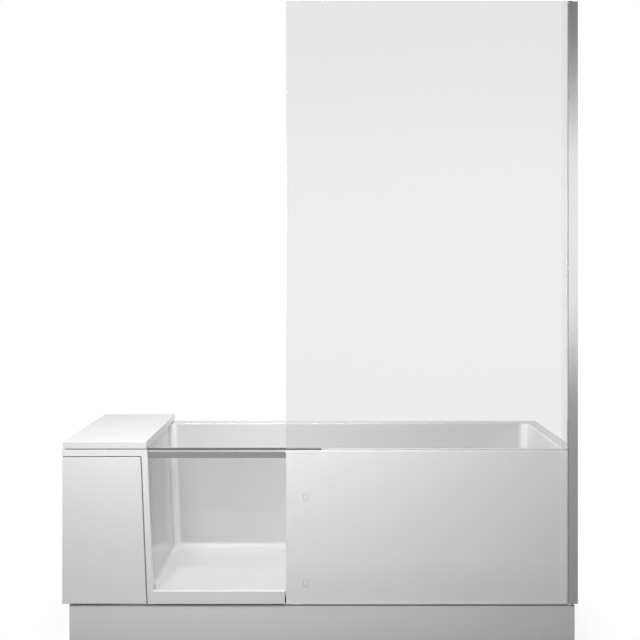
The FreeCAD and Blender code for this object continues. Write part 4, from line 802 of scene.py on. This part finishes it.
# Hinges
# Cast satin brackets on the jamb and knuckles on the stile, held by cross-head screws, each pair on
# a turned steel pin that runs in plastic bushes.
hinge_metal = anodised("Hinge metal", (0.60, 0.60, 0.61), (4.0, 4.0, 4.0))
dress(["hinge_brackets", "hinge_knuckles"], hinge_metal, 0.0008)


def cross_screw(radius, rise):
    """A low domed screw head along Y: the face falls off with the square of the distance from the
    middle, and sinks where a point lies within a cross of two narrow bars."""
    columns, cross_rows, cross_reach = 64, 15, 0.62
    cross_half, cross_depth, fall = 0.11 * radius + 0.00012, 0.6 * rise, 0.55
    rim_rows = [0.66, 0.75, 0.85, 0.93, 1.0, 1.0]
    angle = np.linspace(0.0, 2.0 * np.pi, columns, endpoint=False)[None, :]
    share = np.concatenate([np.linspace(0.0, cross_reach, cross_rows), rim_rows])[:, None]
    across, up = share * radius * np.cos(angle), share * radius * np.sin(angle)
    narrow = np.minimum(np.abs(across), np.abs(up)) < cross_half
    sunk = narrow & (share < rim_rows[0])
    face = rise * (1.0 - fall * share ** 2) - np.where(sunk, cross_depth, 0.0)
    face[-1] = 0.0
    return np.stack([across, face, up], axis=-1)


bracket_low, bracket_high = (np.array(c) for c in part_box("hinge_brackets"))
hinge_half = 0.025
hinge_levels = np.array([bracket_low[2] + hinge_half, bracket_high[2] - hinge_half])
plate_face, plate_columns, plate_step = -0.327, (0.056, 0.078), 0.014
arm_face, arm_x, arm_step = -0.321, -0.005, 0.008
plate_places = np.array([
    (x, plate_face, level + step)
    for x in plate_columns for level in hinge_levels for step in (-plate_step, plate_step)
])[:, None, None, :]
arm_places = np.array([
    (arm_x, arm_face, level + step) for level in hinge_levels for step in (-arm_step, arm_step)
])[:, None, None, :]
plate_screw = cross_screw(radius=0.0048, rise=0.0016)
skin("bracket_screws", plate_places + plate_screw[None], steel, "bath")
arm_screw = cross_screw(radius=0.0036, rise=0.0012)
skin("knuckle_screws", arm_places + arm_screw[None], steel, "door")

dress(["hinge_pins"], steel, 0.0004)
bush_nylon = moulded_nylon("Bush nylon", (0.75, 0.75, 0.74))
dress(["hinge_bushes"], bush_nylon, 0.0)


# Lock
# A steel bolt in a moulded guide under the deck; its knob, reached from under the lid, pushes the
# bolt into the end of the door's rail.
dress(["lock_bolt"], steel, 0.0004)
dress(["lock_guide"], clip_nylon, 0.0006)
dress(["lock_knob"], foot_nylon, 0.0008)


# Lid
# A moulded acrylic seat lid that covers the whole end deck, with two pins at its outer edge in steel
# brackets on the deck. Rubber buffers lie under its free edge, thin seals under its front and rear.
# Painted shade: the lid's acrylic is set greyer (0.795) than the end frame's (0.85).
lid_acrylic = acrylic("Lid acrylic", 0.795, False)
dress(["lid"], lid_acrylic, 0.002)
dress(["lid_hinge_brackets", "lid_pins"], steel, 0.0003)
dress(["lid_buffers"], soft_rubber("Buffer rubber", (0.30, 0.30, 0.30)), 0.0004)

deck_low, deck_high = (np.array(c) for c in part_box("end_frame"))
left_inset, right_inset, edge_inset = 0.008, 0.012, 0.0015
strip_width, strip_foot, strip_top = 0.005, 0.0001, 0.0027
strip_ends = (deck_low[0] + left_inset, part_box("lid")[1][0] - right_inset)
strip_rows = (deck_low[1] + edge_inset, deck_high[1] - (edge_inset + strip_width))
strip_sides = (
    (0.0, strip_foot), (strip_width, strip_foot), (strip_width, strip_top), (0.0, strip_top),
)
lid_seals = np.stack([
    bar(np.array([
        [(x, y + across, deck_high[2] + rise) for across, rise in strip_sides] for x in strip_ends
    ]))
    for y in strip_rows
])
# Painted shade: the seals are near black and set close to the deck's edge to stand for the shade in the
# lid's gap.
seal_rubber = soft_rubber("Lid seal", (0.05, 0.05, 0.05))
skin("lid_seals", lid_seals, seal_rubber, "bath")
